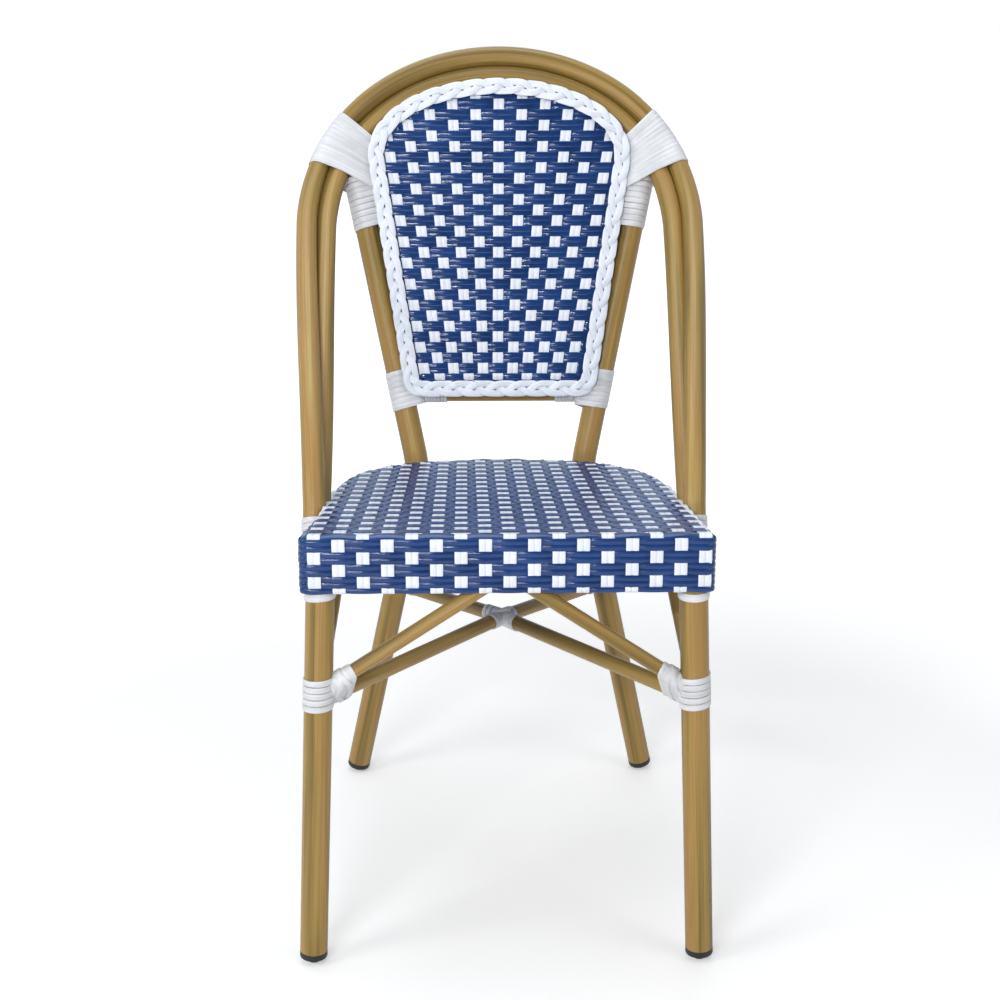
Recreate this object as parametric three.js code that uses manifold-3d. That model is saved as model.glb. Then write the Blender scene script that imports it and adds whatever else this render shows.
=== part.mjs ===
// A bistro chair: printed aluminium tubes bound with white strip, and a woven seat and back.
// Millimetres, +Z up. X is the chair's width and +Y runs from its front to its back.
// While the pieces are made, Y = 0 is the plane of the front legs' axes.
import * as THREE from 'three';
import { ConvexGeometry } from 'three/addons/geometries/ConvexGeometry.js';
import { mergeVertices } from 'three/addons/utils/BufferGeometryUtils.js';
import Module from 'manifold-3d';

const wasm = await Module();
wasm.setup();

// Overall sizes
const OVERALL_HEIGHT = 897.5;
const SEAT_FRONT_HEIGHT = 457;
const SEAT_FALL = 29;
const SEAT_BACK_DEPTH = 388;
const APRON_HEIGHT = 56;

// Tube sizes
const LEG_DIAMETER = 28;
const LEG_BORE_DIAMETER = 24.8;
const HOOP_DIAMETER = 23;
const BRACE_DIAMETER = 16;
const STRUT_DIAMETER = 14;
const BACK_RAIL_DIAMETER = 16;
const ROD_DIAMETER = 10;
const SEAT_RAIL_DIAMETER = 20;
const APRON_RAIL_DIAMETER = 14;
const POST_DIAMETER = 10;
const SUPPORT_BAR_DIAMETER = 12;
const STUB_DIAMETER = 12;

// Clearances: the one between touching pieces, the room that a bent tube needs more because it is
// made of straight steps, and the length by which a cut runs past its piece
const GAP = 0.3;
const BEND_ROOM = 1.6;
const OVERRUN = 4;

// Legs and uprights
const FRONT_FOOT_HALF_SPREAD = 197;
const FRONT_TOP_HALF_SPREAD = 175.5;
const REAR_FOOT_HALF_SPREAD = 183;
const REAR_FOOT_DEPTH = 452;
const BEND_HALF_SPREAD = 95.3;
const BEND_DROP = 19.5;
const BEND_LENGTH = 60;
const UPRIGHT_TOP_HALF_SPREAD = 170.2;
const UPRIGHT_TOP_DROP = 136;
const BACK_LEAN = THREE.MathUtils.degToRad(13.5);

// The two hoops: an elliptical arch in the plane of the back, then a sweep forward to the seat
const HOOP_HALF_WIDTH = 220.5;
const HOOP_RISE = 184.5;
const SWEEP_START_DROP = 79;
const SWEEP_TOP_HANDLE = 110;
const SWEEP_SEAT_HANDLE = 110;
const HOOP_SEAT_HALF_WIDTH = 194;
const HOOP_SEAT_DEPTH = 125;
const HOOP_SEAT_LEAN = THREE.MathUtils.degToRad(24);
const HOOP_TAIL = 40;
const HOOP_ROLL = THREE.MathUtils.degToRad(84);
const ARCH_SHARE = 0.36;
const SWEEP_SHARE = 0.95;

// Seat outline
const SEAT_FRONT_HALF_WIDTH = 197.5;
const SEAT_SIDE_HALF_WIDTH = 181.5;
const SEAT_SIDE_DEPTH = 165;
const SEAT_CORNER_RADIUS = 12;
const SEAT_FLARE_HANDLE = 55;
const SEAT_SIDE_HANDLE = 140;
const SEAT_BACK_HANDLE = 150;
const SEAT_EDGE_RADIUS = 7;
const SEAT_CROWN = 3;
const SEAT_LIP = 1.5;
const WEAVE_THICKNESS = 2.6;
const SUPPORT_BAR_DEPTHS = [125, 250];

// Back panel, measured up the slope of the back from the uprights' bend
const PANEL_TOP_DROP = 28.8;
const PANEL_BOTTOM_DROP = 5.6;
const PANEL_BOTTOM_HALF_WIDTH = 111.8;
const PANEL_SHOULDER_DROP = 97.3;
const PANEL_SHOULDER_HALF_WIDTH = 152.2;
const PANEL_SHOULDER_HANDLE = 55;
const PANEL_CROWN_HANDLE = 77;
const PANEL_CORNER_RADIUS = 22;
const BRAID_WIDTH = 18.8;
const BRAID_THICKNESS = 4.6;
const ROD_SHOULDER_DROP = 151;
const ROD_SHOULDER_HANDLE = 70;
const ROD_CROWN_HANDLE = 76;
const ROD_CORNER_RADIUS = 14;
const BACK_RAIL_RISE = 73;

// Braces under the seat
const STRUT_FRONT_DROP = 163.5;
const BRACE_FRONT_DROP = 171.5;
const BRACE_REAR_DROP = 190.5;
const FRONT_STRUT_TOP_HALF_SPREAD = 13;
const SIDE_STRUT_TOP_DEPTH = 172;
const BRACE_CROSSING_SHARE = 0.595;
const BRACE_CROSSING_RISE = 8;
const BRACE_BEND_LENGTH = 30;

// White binding strip
const STRIP_WIDTH = 6;
const STRIP_THICKNESS = 1.3;
const STRIP_SPACE = 0.7;
const FINE_STRIP_WIDTH = 3.1;
const LOW_LOOP_SHARE = 0.6;
const SHOULDER_BINDING_START = 188;
const SHOULDER_TURNS = 8;
const SHOULDER_PITCH = 9.2;
const UPRIGHT_BINDING_DROP = 165;
const UPRIGHT_TURNS = 6;
const UPRIGHT_LASHING_RISE = 26;
const UPRIGHT_LASHING_LOOPS = 6;
const BACK_RAIL_TURNS = 5;
const BACK_RAIL_BINDING_HALF_WIDTH = 79;
const HOOP_SEAT_TURNS = 4;
const HOOP_SEAT_BINDING_START = -9;
const LEG_TOP_TURNS = 1;
const LEG_TOP_TILT = 2.4;
const LEG_LASHING_LOOPS = 5;
const LEG_LASHING_RISE = 1;
const STRUT_LASHING_START = 15;
const STRUT_LASHING_END = 36;
const CROSSING_LASHING_REACH = 14;
const REAR_LASHING_REACH = 34;

// Foot glides
const GLIDE_TIP_HEIGHT = 6;
const GLIDE_TIP_DIAMETER = 18;
const GLIDE_FLAT_DEPTH = 0.8;
const GLIDE_COLLAR_HEIGHT = 6.8;
const GLIDE_COLLAR_EDGE = 0.8;
const GLIDE_STEM_LENGTH = 14;

// How finely round shapes are divided
const LEG_SIDES = 12;
const HOOP_SIDES = 8;
const BRACE_SIDES = 8;
const SMALL_SIDES = 8;
const HOOP_STATIONS = 40;
const HOOP_STEPS = 42;
const REAR_LEG_STEPS = 14;
const BRACE_STEPS = 12;
const RING_STEPS = 36;
const LOOP_SPLITS = 7;
const SEAT_FRONT_SPLITS = 2;
const SEAT_CORNER_SPLITS = 3;
const SEAT_SIDE_SPLITS = 4;
const SEAT_BACK_SPLITS = 8;
const SEARCH_LIMIT = 1e-6;
const FIRST_ARC_STEPS = 6;
const SECOND_ARC_STEPS = 4;
const TURN_STEPS = FIRST_ARC_STEPS + SECOND_ARC_STEPS + 2;
const DOME_STEPS = 4;

// Sizes that follow from the ones above
const LEG_RADIUS = LEG_DIAMETER / 2;
const HOOP_RADIUS = HOOP_DIAMETER / 2;
const BRACE_RADIUS = BRACE_DIAMETER / 2;
const STRUT_RADIUS = STRUT_DIAMETER / 2;
const BACK_RAIL_RADIUS = BACK_RAIL_DIAMETER / 2;
const ROD_RADIUS = ROD_DIAMETER / 2;
const SEAT_FRONT_EDGE = -(LEG_RADIUS + WEAVE_THICKNESS + 3 * GAP);
const SEAT_SLOPE = SEAT_FALL / (SEAT_BACK_DEPTH - SEAT_FRONT_EDGE);
const SEAT_RAIL_INSET = WEAVE_THICKNESS + GAP + BEND_ROOM + SEAT_RAIL_DIAMETER / 2;
const APRON_RAIL_INSET = WEAVE_THICKNESS + GAP + BEND_ROOM + APRON_RAIL_DIAMETER / 2;
const SEAT_RAIL_DROP = SEAT_RAIL_INSET + SEAT_LIP;
const APRON_RAIL_DROP = APRON_HEIGHT - APRON_RAIL_DIAMETER / 2 - SEAT_LIP;
const SEAT_BACK_HEIGHT = SEAT_FRONT_HEIGHT - SEAT_FALL;
const BEND_HEIGHT = SEAT_BACK_HEIGHT - BEND_DROP;
const BACK_RAIL_HEIGHT = SEAT_BACK_HEIGHT + BACK_RAIL_RISE;
const STRUT_FRONT_HEIGHT = SEAT_FRONT_HEIGHT - STRUT_FRONT_DROP;
const BRACE_FRONT_HEIGHT = SEAT_FRONT_HEIGHT - BRACE_FRONT_DROP;
const BRACE_REAR_HEIGHT = SEAT_FRONT_HEIGHT - BRACE_REAR_DROP;
const UPRIGHT_TOP_HEIGHT = OVERALL_HEIGHT - UPRIGHT_TOP_DROP;
const SWEEP_START_HEIGHT = OVERALL_HEIGHT - SWEEP_START_DROP;
const UPRIGHT_BINDING_TOP_HEIGHT = OVERALL_HEIGHT - UPRIGHT_BINDING_DROP;
const UPRIGHT_LASHING_TOP_HEIGHT = BACK_RAIL_HEIGHT + UPRIGHT_LASHING_RISE;
const HOOP_TOP = upSlope(OVERALL_HEIGHT - HOOP_RADIUS);
const BACK_RAIL_UP = upSlope(BACK_RAIL_HEIGHT);
const STRIP_PITCH = STRIP_WIDTH + STRIP_SPACE;
const ARC_STRETCH = 1 / Math.cos(Math.PI / (FIRST_ARC_STEPS + SECOND_ARC_STEPS));
const BRAID_FORWARD = (LEG_RADIUS + GAP) * ARC_STRETCH + STRIP_THICKNESS + 2 * GAP + BRAID_THICKNESS / 2;
const ROD_FORWARD = BRAID_FORWARD / 3;
const GLIDE_HEIGHT = GLIDE_TIP_HEIGHT + GLIDE_COLLAR_HEIGHT;

// Finishes
function finish(color, roughness, metalness) {
  return new THREE.MeshStandardMaterial({ color, roughness, metalness });
}
const bamboo = () => finish(0xb6945c, 0.42, 0.1);
const whiteStrip = () => finish(0xe6e6ea, 0.5, 0);
const blueWeave = () => finish(0x1f4690, 0.4, 0);
const bareFrame = () => finish(0x9a9fa4, 0.5, 0.6);
const blackPlastic = () => finish(0x17171a, 0.6, 0);

const chair = new THREE.Group();

function addPiece(name, geometry, material) {
  const mesh = new THREE.Mesh(geometry, material);
  mesh.name = name;
  chair.add(mesh);
}

function sideName(name, side) {
  return `${name}_${side > 0 ? 'right' : 'left'}`;
}

// Joining and cutting closed meshes
function solidOf(geometry) {
  const bare = geometry.clone();
  bare.deleteAttribute('normal');
  bare.deleteAttribute('uv');
  const merged = mergeVertices(bare);
  const vertProperties = new Float32Array(merged.attributes.position.array);
  const triVerts = new Uint32Array(merged.index.array);
  return new wasm.Manifold(new wasm.Mesh({ numProp: 3, vertProperties, triVerts }));
}

function geometryOf(solid) {
  const { numProp, vertProperties, triVerts } = solid.getMesh();
  const positions = new Float32Array(vertProperties.length / numProp * 3);
  for (let vertex = 0; vertex < vertProperties.length / numProp; vertex++) {
    positions.set(vertProperties.slice(vertex * numProp, vertex * numProp + 3), vertex * 3);
  }
  const geometry = new THREE.BufferGeometry();
  geometry.setAttribute('position', new THREE.BufferAttribute(positions, 3));
  geometry.setIndex(new THREE.BufferAttribute(new Uint32Array(triVerts), 1));
  geometry.computeVertexNormals();
  return geometry;
}

function cut(geometry, ...tools) {
  return geometryOf(tools.reduce((solid, tool) => solid.subtract(solidOf(tool)), solidOf(geometry)));
}

function join(...geometries) {
  return geometryOf(geometries.slice(1).reduce((solid, next) => solid.add(solidOf(next)), solidOf(geometries[0])));
}

// Tubes and rods along a curve
function circle(radius) {
  return new THREE.Shape().absarc(0, 0, radius, 0, 2 * Math.PI);
}

function tube(path, diameter, sides, steps) {
  return new THREE.ExtrudeGeometry(circle(diameter / 2), {
    extrudePath: path, steps, curveSegments: sides / 2, bevelEnabled: false,
  });
}

function straight(from, to) {
  return new THREE.LineCurve3(from, to);
}

function rod(from, to, diameter, sides) {
  return tube(straight(from, to), diameter, sides, 1);
}

// The same rod, made wider by the clearance and longer at both ends, for cutting its neighbours
function rodCutter(from, to, diameter, sides) {
  const reach = to.clone().sub(from).setLength(OVERRUN);
  return rod(from.clone().sub(reach), to.clone().add(reach), diameter + 2 * GAP, sides);
}

function between(from, to, share) {
  return from.clone().lerp(to, share);
}

// Places on the sloping back
function backPoint(x, up, forward) {
  return new THREE.Vector3(
    x,
    bendDepth() + up * Math.sin(BACK_LEAN) - forward * Math.cos(BACK_LEAN),
    BEND_HEIGHT + up * Math.cos(BACK_LEAN) + forward * Math.sin(BACK_LEAN),
  );
}

function upSlope(height) {
  return (height - BEND_HEIGHT) / Math.cos(BACK_LEAN);
}

// Seat outline: half of it, from the middle of the front edge to the middle of the back edge
function seatCurves(inset) {
  const front = SEAT_FRONT_EDGE + inset;
  const back = SEAT_BACK_DEPTH - inset;
  const corner = new THREE.Vector2(SEAT_FRONT_HALF_WIDTH - inset, front);
  const side = new THREE.Vector2(SEAT_SIDE_HALF_WIDTH - inset, SEAT_SIDE_DEPTH);
  const flare = new THREE.Vector2(side.x, side.y - SEAT_FLARE_HANDLE).sub(corner);
  const afterCorner = corner.clone().add(flare.clone().setLength(SEAT_CORNER_RADIUS));
  const frontEnd = new THREE.Vector2(corner.x - SEAT_CORNER_RADIUS, front);
  return {
    front: new THREE.LineCurve(new THREE.Vector2(0, front), frontEnd),
    corner: new THREE.QuadraticBezierCurve(frontEnd, corner, afterCorner),
    side: new THREE.CubicBezierCurve(
      afterCorner,
      afterCorner.clone().add(flare.clone().setLength(SEAT_FLARE_HANDLE)),
      new THREE.Vector2(side.x, side.y - SEAT_FLARE_HANDLE),
      side,
    ),
    back: new THREE.CubicBezierCurve(
      side,
      new THREE.Vector2(side.x, side.y + SEAT_SIDE_HANDLE - inset),
      new THREE.Vector2(SEAT_BACK_HANDLE - inset, back),
      new THREE.Vector2(0, back),
    ),
  };
}

function seatHalfOutline(inset) {
  const curves = seatCurves(inset);
  const points = [
    ...curves.front.getPoints(SEAT_FRONT_SPLITS),
    ...curves.corner.getPoints(SEAT_CORNER_SPLITS).slice(1),
    ...curves.side.getPoints(SEAT_SIDE_SPLITS).slice(1),
    ...curves.back.getPoints(SEAT_BACK_SPLITS).slice(1),
  ];
  return points;
}

function seatOutline(inset) {
  const half = seatHalfOutline(inset);
  const mirrored = half.slice(1, -1).reverse().map((point) => new THREE.Vector2(-point.x, point.y));
  return [...half, ...mirrored];
}

function seatHeight(depth) {
  return SEAT_FRONT_HEIGHT - (depth - SEAT_FRONT_EDGE) * SEAT_SLOPE;
}

function seatPoint(point, drop) {
  return new THREE.Vector3(point.x, point.y, seatHeight(point.y) - drop);
}

// The back edge of the seat at a given distance from the middle
function seatBackEdge(halfWidth) {
  const { back } = seatCurves(0);
  let low = 0;
  let high = 1;
  while (high - low > SEARCH_LIMIT) {
    const middle = (low + high) / 2;
    if (back.getPoint(middle).x > halfWidth) low = middle;
    else high = middle;
  }
  return back.getPoint(low).y;
}

function bendDepth() {
  return seatBackEdge(BEND_HALF_SPREAD) + LEG_RADIUS + 3 * GAP;
}

// A path round the seat at an inset, from one end of a half outline to the other and back
class SeatLoop extends THREE.Curve {
  constructor(inset, drop, weldGap) {
    super();
    const outline = seatOutline(inset).map((point) => seatPoint(point, drop));
    const start = outline.findIndex((point) => point.y > SEAT_BACK_DEPTH - inset - GAP);
    const turned = [...outline.slice(start), ...outline.slice(0, start)];
    const loop = new THREE.CatmullRomCurve3(turned, true, 'centripetal');
    this.loop = loop;
    this.skip = weldGap / loop.getLength();
  }

  getPoint(t) {
    const share = this.skip / 2 + t * (1 - this.skip);
    return this.loop.getPointAt(share);
  }
}

// One side of the outer hoop, from the top of the arch down to its tail beside the seat
class HoopSide extends THREE.Curve {
  constructor(side) {
    super();
    this.side = side;
    this.centre = HOOP_TOP - HOOP_RISE;
    this.widestHeight = BEND_HEIGHT + this.centre * Math.cos(BACK_LEAN);
    const start = backPoint(0, upSlope(SWEEP_START_HEIGHT), 0);
    this.archEnd = Math.acos((upSlope(SWEEP_START_HEIGHT) - this.centre) / HOOP_RISE);
    const seat = new THREE.Vector2(HOOP_SEAT_DEPTH, seatHeight(HOOP_SEAT_DEPTH));
    this.seatHeight = seat.y;
    const down = new THREE.Vector2(-Math.sin(BACK_LEAN), -Math.cos(BACK_LEAN)).multiplyScalar(SWEEP_TOP_HANDLE);
    const up = new THREE.Vector2(Math.sin(HOOP_SEAT_LEAN), Math.cos(HOOP_SEAT_LEAN));
    const first = new THREE.Vector2(start.y, start.z);
    this.profile = new THREE.CubicBezierCurve(
      first,
      first.clone().add(down),
      seat.clone().add(up.clone().multiplyScalar(SWEEP_SEAT_HANDLE)),
      seat,
    );
    this.tail = seat.clone().sub(up.clone().multiplyScalar(HOOP_TAIL));
  }

  halfWidth(height) {
    if (height > this.widestHeight) {
      const rise = (upSlope(height) - this.centre) / HOOP_RISE;
      return HOOP_HALF_WIDTH * Math.sqrt(Math.max(0, 1 - rise * rise));
    }
    if (height < this.seatHeight) return HOOP_SEAT_HALF_WIDTH;
    const fallen = (this.widestHeight - height) / (this.widestHeight - this.seatHeight);
    const eased = (fallen + (1 - Math.cos(Math.PI * fallen)) / 2) / 2;
    return HOOP_HALF_WIDTH + (HOOP_SEAT_HALF_WIDTH - HOOP_HALF_WIDTH) * eased;
  }

  getPoint(t) {
    if (t < ARCH_SHARE) {
      const angle = this.archEnd * t / ARCH_SHARE;
      const up = this.centre + HOOP_RISE * Math.cos(angle);
      return backPoint(this.side * HOOP_HALF_WIDTH * Math.sin(angle), up, 0);
    }
    let place;
    if (t < SWEEP_SHARE) {
      place = this.profile.getPoint((t - ARCH_SHARE) / (SWEEP_SHARE - ARCH_SHARE));
    } else {
      const run = (t - SWEEP_SHARE) / (1 - SWEEP_SHARE);
      place = this.profile.v3.clone().lerp(this.tail, run);
    }
    return new THREE.Vector3(this.side * this.halfWidth(place.y), place.x, place.y);
  }

  // Unit vectors at a place: along the tube, straight behind it, and in towards the arch's middle
  frame(t) {
    const point = this.getPoint(t);
    const along = this.getTangent(t);
    const slope = new THREE.Vector2(along.y, along.z);
    const lean = t < ARCH_SHARE ? BACK_LEAN : Math.atan2(-slope.x, -slope.y);
    const behind = new THREE.Vector3(0, Math.cos(lean), -Math.sin(lean));
    const inward = behind.clone().cross(along).multiplyScalar(this.side).normalize();
    return { point, along, behind, inward };
  }

  // The inner hoop lies inside the arch and rolls round behind the outer one towards the seat
  innerPoint(t) {
    const { point, behind, inward } = this.frame(t);
    const fallen = (SWEEP_START_HEIGHT - point.z) / (SWEEP_START_HEIGHT - this.seatHeight);
    const roll = HOOP_ROLL * THREE.MathUtils.clamp(fallen, 0, 1);
    const spacing = HOOP_DIAMETER + GAP;
    return point.clone()
      .addScaledVector(inward, spacing * Math.cos(roll))
      .addScaledVector(behind, spacing * Math.sin(roll));
  }
}

const hoopSides = { '-1': new HoopSide(-1), 1: new HoopSide(1) };

function hoopPath(placeOf, overrun = 0) {
  const sidePoints = (side) => Array.from({ length: HOOP_STATIONS + 1 }, (_, station) =>
    placeOf(hoopSides[side], hoopSides[side].getUtoTmapping(station / HOOP_STATIONS)));
  const points = [...sidePoints(-1).reverse(), ...sidePoints(1).slice(1)];
  const beyond = (end, next) => end.clone().add(end.clone().sub(next).setLength(overrun));
  if (overrun > 0) {
    points.unshift(beyond(points[0], points[1]));
    points.push(beyond(points.at(-1), points.at(-2)));
  }
  return new THREE.CatmullRomCurve3(points, false, 'centripetal');
}

const outerPlace = (side, t) => side.getPoint(t);
const innerPlace = (side, t) => side.innerPoint(t);
const outerHoopPath = hoopPath(outerPlace);
const innerHoopPath = hoopPath(innerPlace);

// Lines of the legs, uprights and braces
function frontLegPoint(side, height) {
  const share = height / seatHeight(0);
  const halfSpread = THREE.MathUtils.lerp(FRONT_FOOT_HALF_SPREAD, FRONT_TOP_HALF_SPREAD, share);
  return new THREE.Vector3(side * halfSpread, 0, height);
}

function rearFoot(side) {
  return new THREE.Vector3(side * REAR_FOOT_HALF_SPREAD, REAR_FOOT_DEPTH, 0);
}

function bendPoint(side) {
  return backPoint(side * BEND_HALF_SPREAD, 0, 0);
}

function rearLegPoint(side, height) {
  return between(rearFoot(side), bendPoint(side), height / BEND_HEIGHT);
}

function uprightHalfSpread(up) {
  const full = upSlope(UPRIGHT_TOP_HEIGHT);
  return THREE.MathUtils.lerp(BEND_HALF_SPREAD, UPRIGHT_TOP_HALF_SPREAD, up / full);
}

function uprightPoint(side, up) {
  return backPoint(side * uprightHalfSpread(up), up, 0);
}

function rearLegPath(side) {
  const bend = bendPoint(side);
  const top = uprightPoint(side, upSlope(UPRIGHT_TOP_HEIGHT));
  return bentPath(footEnd(rearFoot(side), bend), bend, top, BEND_LENGTH);
}

function footEnd(foot, above) {
  return foot.clone().add(above.clone().sub(foot).setLength(GLIDE_HEIGHT + GAP));
}

function legBore(foot, above) {
  const axis = above.clone().sub(foot).normalize();
  const mouth = foot.clone().addScaledVector(axis, GLIDE_HEIGHT - OVERRUN);
  const end = foot.clone().addScaledVector(axis, GLIDE_HEIGHT + GLIDE_STEM_LENGTH + 3 * GAP);
  return rod(mouth, end, LEG_BORE_DIAMETER, LEG_SIDES);
}

// Front legs: straight tubes, coped at the top to sit under the seat rail
function frontLegAxis(side) {
  return [frontLegPoint(side, 0), frontLegPoint(side, seatHeight(0) - SEAT_RAIL_DROP)];
}

function makeFrontLeg(side) {
  const [foot, top] = frontLegAxis(side);
  const body = rod(footEnd(foot, top), top, LEG_DIAMETER, LEG_SIDES);
  const railCutter = tube(seatRailPath, SEAT_RAIL_DIAMETER + 2 * GAP, SMALL_SIDES, RING_STEPS);
  addPiece(sideName('front_leg', side), cut(body, legBore(foot, top), railCutter), bamboo());
}

// Rear legs: one bent tube each, the upright above the seat coped to the inner hoop
function makeRearLeg(side) {
  const body = tube(rearLegPath(side), LEG_DIAMETER, LEG_SIDES, REAR_LEG_STEPS);
  const hoopCutter = tube(innerHoopPath, HOOP_DIAMETER + 2 * GAP, HOOP_SIDES, HOOP_STEPS);
  const bore = legBore(rearFoot(side), bendPoint(side));
  const binding = envelope(shoulderBinding(side), STRIP_THICKNESS + GAP);
  addPiece(sideName('rear_leg', side), largestPart(cut(body, bore, hoopCutter, binding)), bamboo());
}

// Glides: a ribless plug in the leg's bore, a collar of the tube's width and a rounded tip,
// worn flat where it stands on the floor
function glideProfile() {
  const points = [];
  const fullTip = GLIDE_TIP_HEIGHT + GLIDE_FLAT_DEPTH;
  for (let step = 0; step <= DOME_STEPS; step++) {
    const angle = Math.PI / 2 * step / DOME_STEPS;
    const radius = GLIDE_TIP_DIAMETER / 2 * Math.sin(angle);
    points.push(new THREE.Vector2(radius, fullTip * (1 - Math.cos(angle)) - GLIDE_FLAT_DEPTH));
  }
  const stemRadius = LEG_BORE_DIAMETER / 2 - 2 * GAP;
  points.push(new THREE.Vector2(LEG_RADIUS - GLIDE_COLLAR_EDGE, GLIDE_TIP_HEIGHT));
  points.push(new THREE.Vector2(LEG_RADIUS, GLIDE_TIP_HEIGHT + GLIDE_COLLAR_EDGE));
  points.push(new THREE.Vector2(LEG_RADIUS, GLIDE_HEIGHT));
  points.push(new THREE.Vector2(stemRadius, GLIDE_HEIGHT));
  points.push(new THREE.Vector2(stemRadius, GLIDE_HEIGHT + GLIDE_STEM_LENGTH));
  points.push(new THREE.Vector2(0, GLIDE_HEIGHT + GLIDE_STEM_LENGTH));
  return points;
}

function turnOnto(geometry, foot, above) {
  const axis = above.clone().sub(foot).normalize();
  const upright = new THREE.Quaternion().setFromUnitVectors(new THREE.Vector3(0, 1, 0), axis);
  geometry.applyQuaternion(upright);
  geometry.translate(foot.x, foot.y, foot.z);
  return geometry;
}

function makeGlide(name, foot, above) {
  const glide = turnOnto(new THREE.LatheGeometry(glideProfile(), LEG_SIDES), foot, above);
  const floor = new THREE.BoxGeometry(2 * LEG_DIAMETER, 2 * LEG_DIAMETER, LEG_DIAMETER);
  floor.translate(foot.x, foot.y, -LEG_DIAMETER / 2);
  addPiece(name, cut(glide, floor), blackPlastic());
}

// Seat frame: an upper rail the weave bends over, a lower rail inside the apron, posts between
// them, two bars under the weave, and a stub to each rear leg
const seatRailPath = new SeatLoop(SEAT_RAIL_INSET, SEAT_RAIL_DROP, 2 * GAP);
const apronRailPath = new SeatLoop(APRON_RAIL_INSET, APRON_RAIL_DROP, 2 * GAP);

function hoopCutters() {
  return [outerPlace, innerPlace].map((placeOf) =>
    tube(hoopPath(placeOf, OVERRUN), HOOP_DIAMETER + BEND_ROOM, HOOP_SIDES, 2 * HOOP_STEPS));
}

function frontLegCutter(side) {
  const [foot, top] = frontLegAxis(side);
  return rodCutter(foot, top, LEG_DIAMETER, LEG_SIDES);
}

function largestPart(geometry) {
  const parts = solidOf(geometry).decompose();
  return geometryOf(parts.sort((a, b) => b.volume() - a.volume())[0]);
}

function makeSeatRails() {
  const upper = tube(seatRailPath, SEAT_RAIL_DIAMETER, SMALL_SIDES, RING_STEPS);
  const bindings = [-1, 1].map((side) => envelope(hoopSeatBinding(side), STRIP_THICKNESS + GAP));
  addPiece('seat_rail_upper', cut(upper, ...bindings), bareFrame());
  const lower = tube(apronRailPath, APRON_RAIL_DIAMETER, SMALL_SIDES, RING_STEPS);
  const parted = cut(lower, frontLegCutter(-1), frontLegCutter(1));
  const parts = solidOf(parted).decompose().sort((a, b) => b.volume() - a.volume());
  const middle = (part) => {
    const { min, max } = part.boundingBox();
    return (min[1] + max[1]) / 2;
  };
  const front = parts.find((part) => middle(part) < LEG_RADIUS && isWide(part));
  const rear = parts.filter((part) => part !== front && part.volume() > front.volume() / 4);
  addPiece('seat_rail_lower_front', geometryOf(front), bareFrame());
  rear.forEach((part) => {
    const { min, max } = part.boundingBox();
    addPiece(sideName('seat_rail_lower_side', min[0] + max[0]), geometryOf(part), bareFrame());
  });
}

function isWide(part) {
  const { min, max } = part.boundingBox();
  return max[0] - min[0] > FRONT_TOP_HALF_SPREAD;
}

function makePosts() {
  const shares = [0.11, 0.27, 0.4, 0.6, 0.73, 0.89];
  shares.forEach((share, index) => {
    const top = seatRailPath.getPointAt(share);
    const bottom = apronRailPath.getPointAt(share);
    const axis = top.clone().sub(bottom).normalize();
    const from = bottom.clone().addScaledVector(axis, APRON_RAIL_DIAMETER / 2 + 2 * GAP);
    const to = top.clone().addScaledVector(axis, -(SEAT_RAIL_DIAMETER / 2 + 2 * GAP));
    addPiece(`seat_post_${index + 1}`, rod(from, to, POST_DIAMETER, SMALL_SIDES), bareFrame());
  });
}

function makeSupportBars() {
  SUPPORT_BAR_DEPTHS.forEach((depth, index) => {
    const drop = WEAVE_THICKNESS + GAP + SUPPORT_BAR_DIAMETER / 2;
    const end = (side) => seatPoint(new THREE.Vector2(side * seatHalfWidth(depth, SEAT_RAIL_INSET), depth), drop);
    const bar = rod(end(-1), end(1), SUPPORT_BAR_DIAMETER, SMALL_SIDES);
    const railCutter = tube(seatRailPath, SEAT_RAIL_DIAMETER + 2 * GAP, SMALL_SIDES, RING_STEPS);
    addPiece(`seat_support_bar_${index + 1}`, largestPart(cut(bar, railCutter)), bareFrame());
  });
}

// Half the seat's width at a depth, read from the outline's straight stretches
function seatHalfWidth(depth, inset) {
  const outline = seatHalfOutline(inset);
  const index = outline.findIndex((point, place) => place > 2 && point.y >= depth);
  const [before, after] = [outline[index - 1], outline[index]];
  const share = (depth - before.y) / (after.y - before.y);
  return THREE.MathUtils.lerp(before.x, after.x, share);
}

function stubLine(side) {
  const end = rearLegPoint(side, BEND_HEIGHT);
  const railDepth = seatBackEdge(BEND_HALF_SPREAD) - SEAT_RAIL_INSET;
  const start = seatPoint(new THREE.Vector2(end.x, railDepth - GAP), SEAT_RAIL_DROP);
  return [start, new THREE.Vector3(end.x, end.y, start.z)];
}

function makeStub(side) {
  const [start, end] = stubLine(side);
  const bar = rod(start, end, STUB_DIAMETER, SMALL_SIDES);
  const railCutter = tube(seatRailPath, SEAT_RAIL_DIAMETER + 2 * GAP, SMALL_SIDES, RING_STEPS);
  const legCutter = tube(rearLegPath(side), LEG_DIAMETER + 2 * GAP, LEG_SIDES, REAR_LEG_STEPS);
  addPiece(sideName('rear_leg_stub', side), largestPart(cut(bar, railCutter, legCutter)), bareFrame());
}

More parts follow.
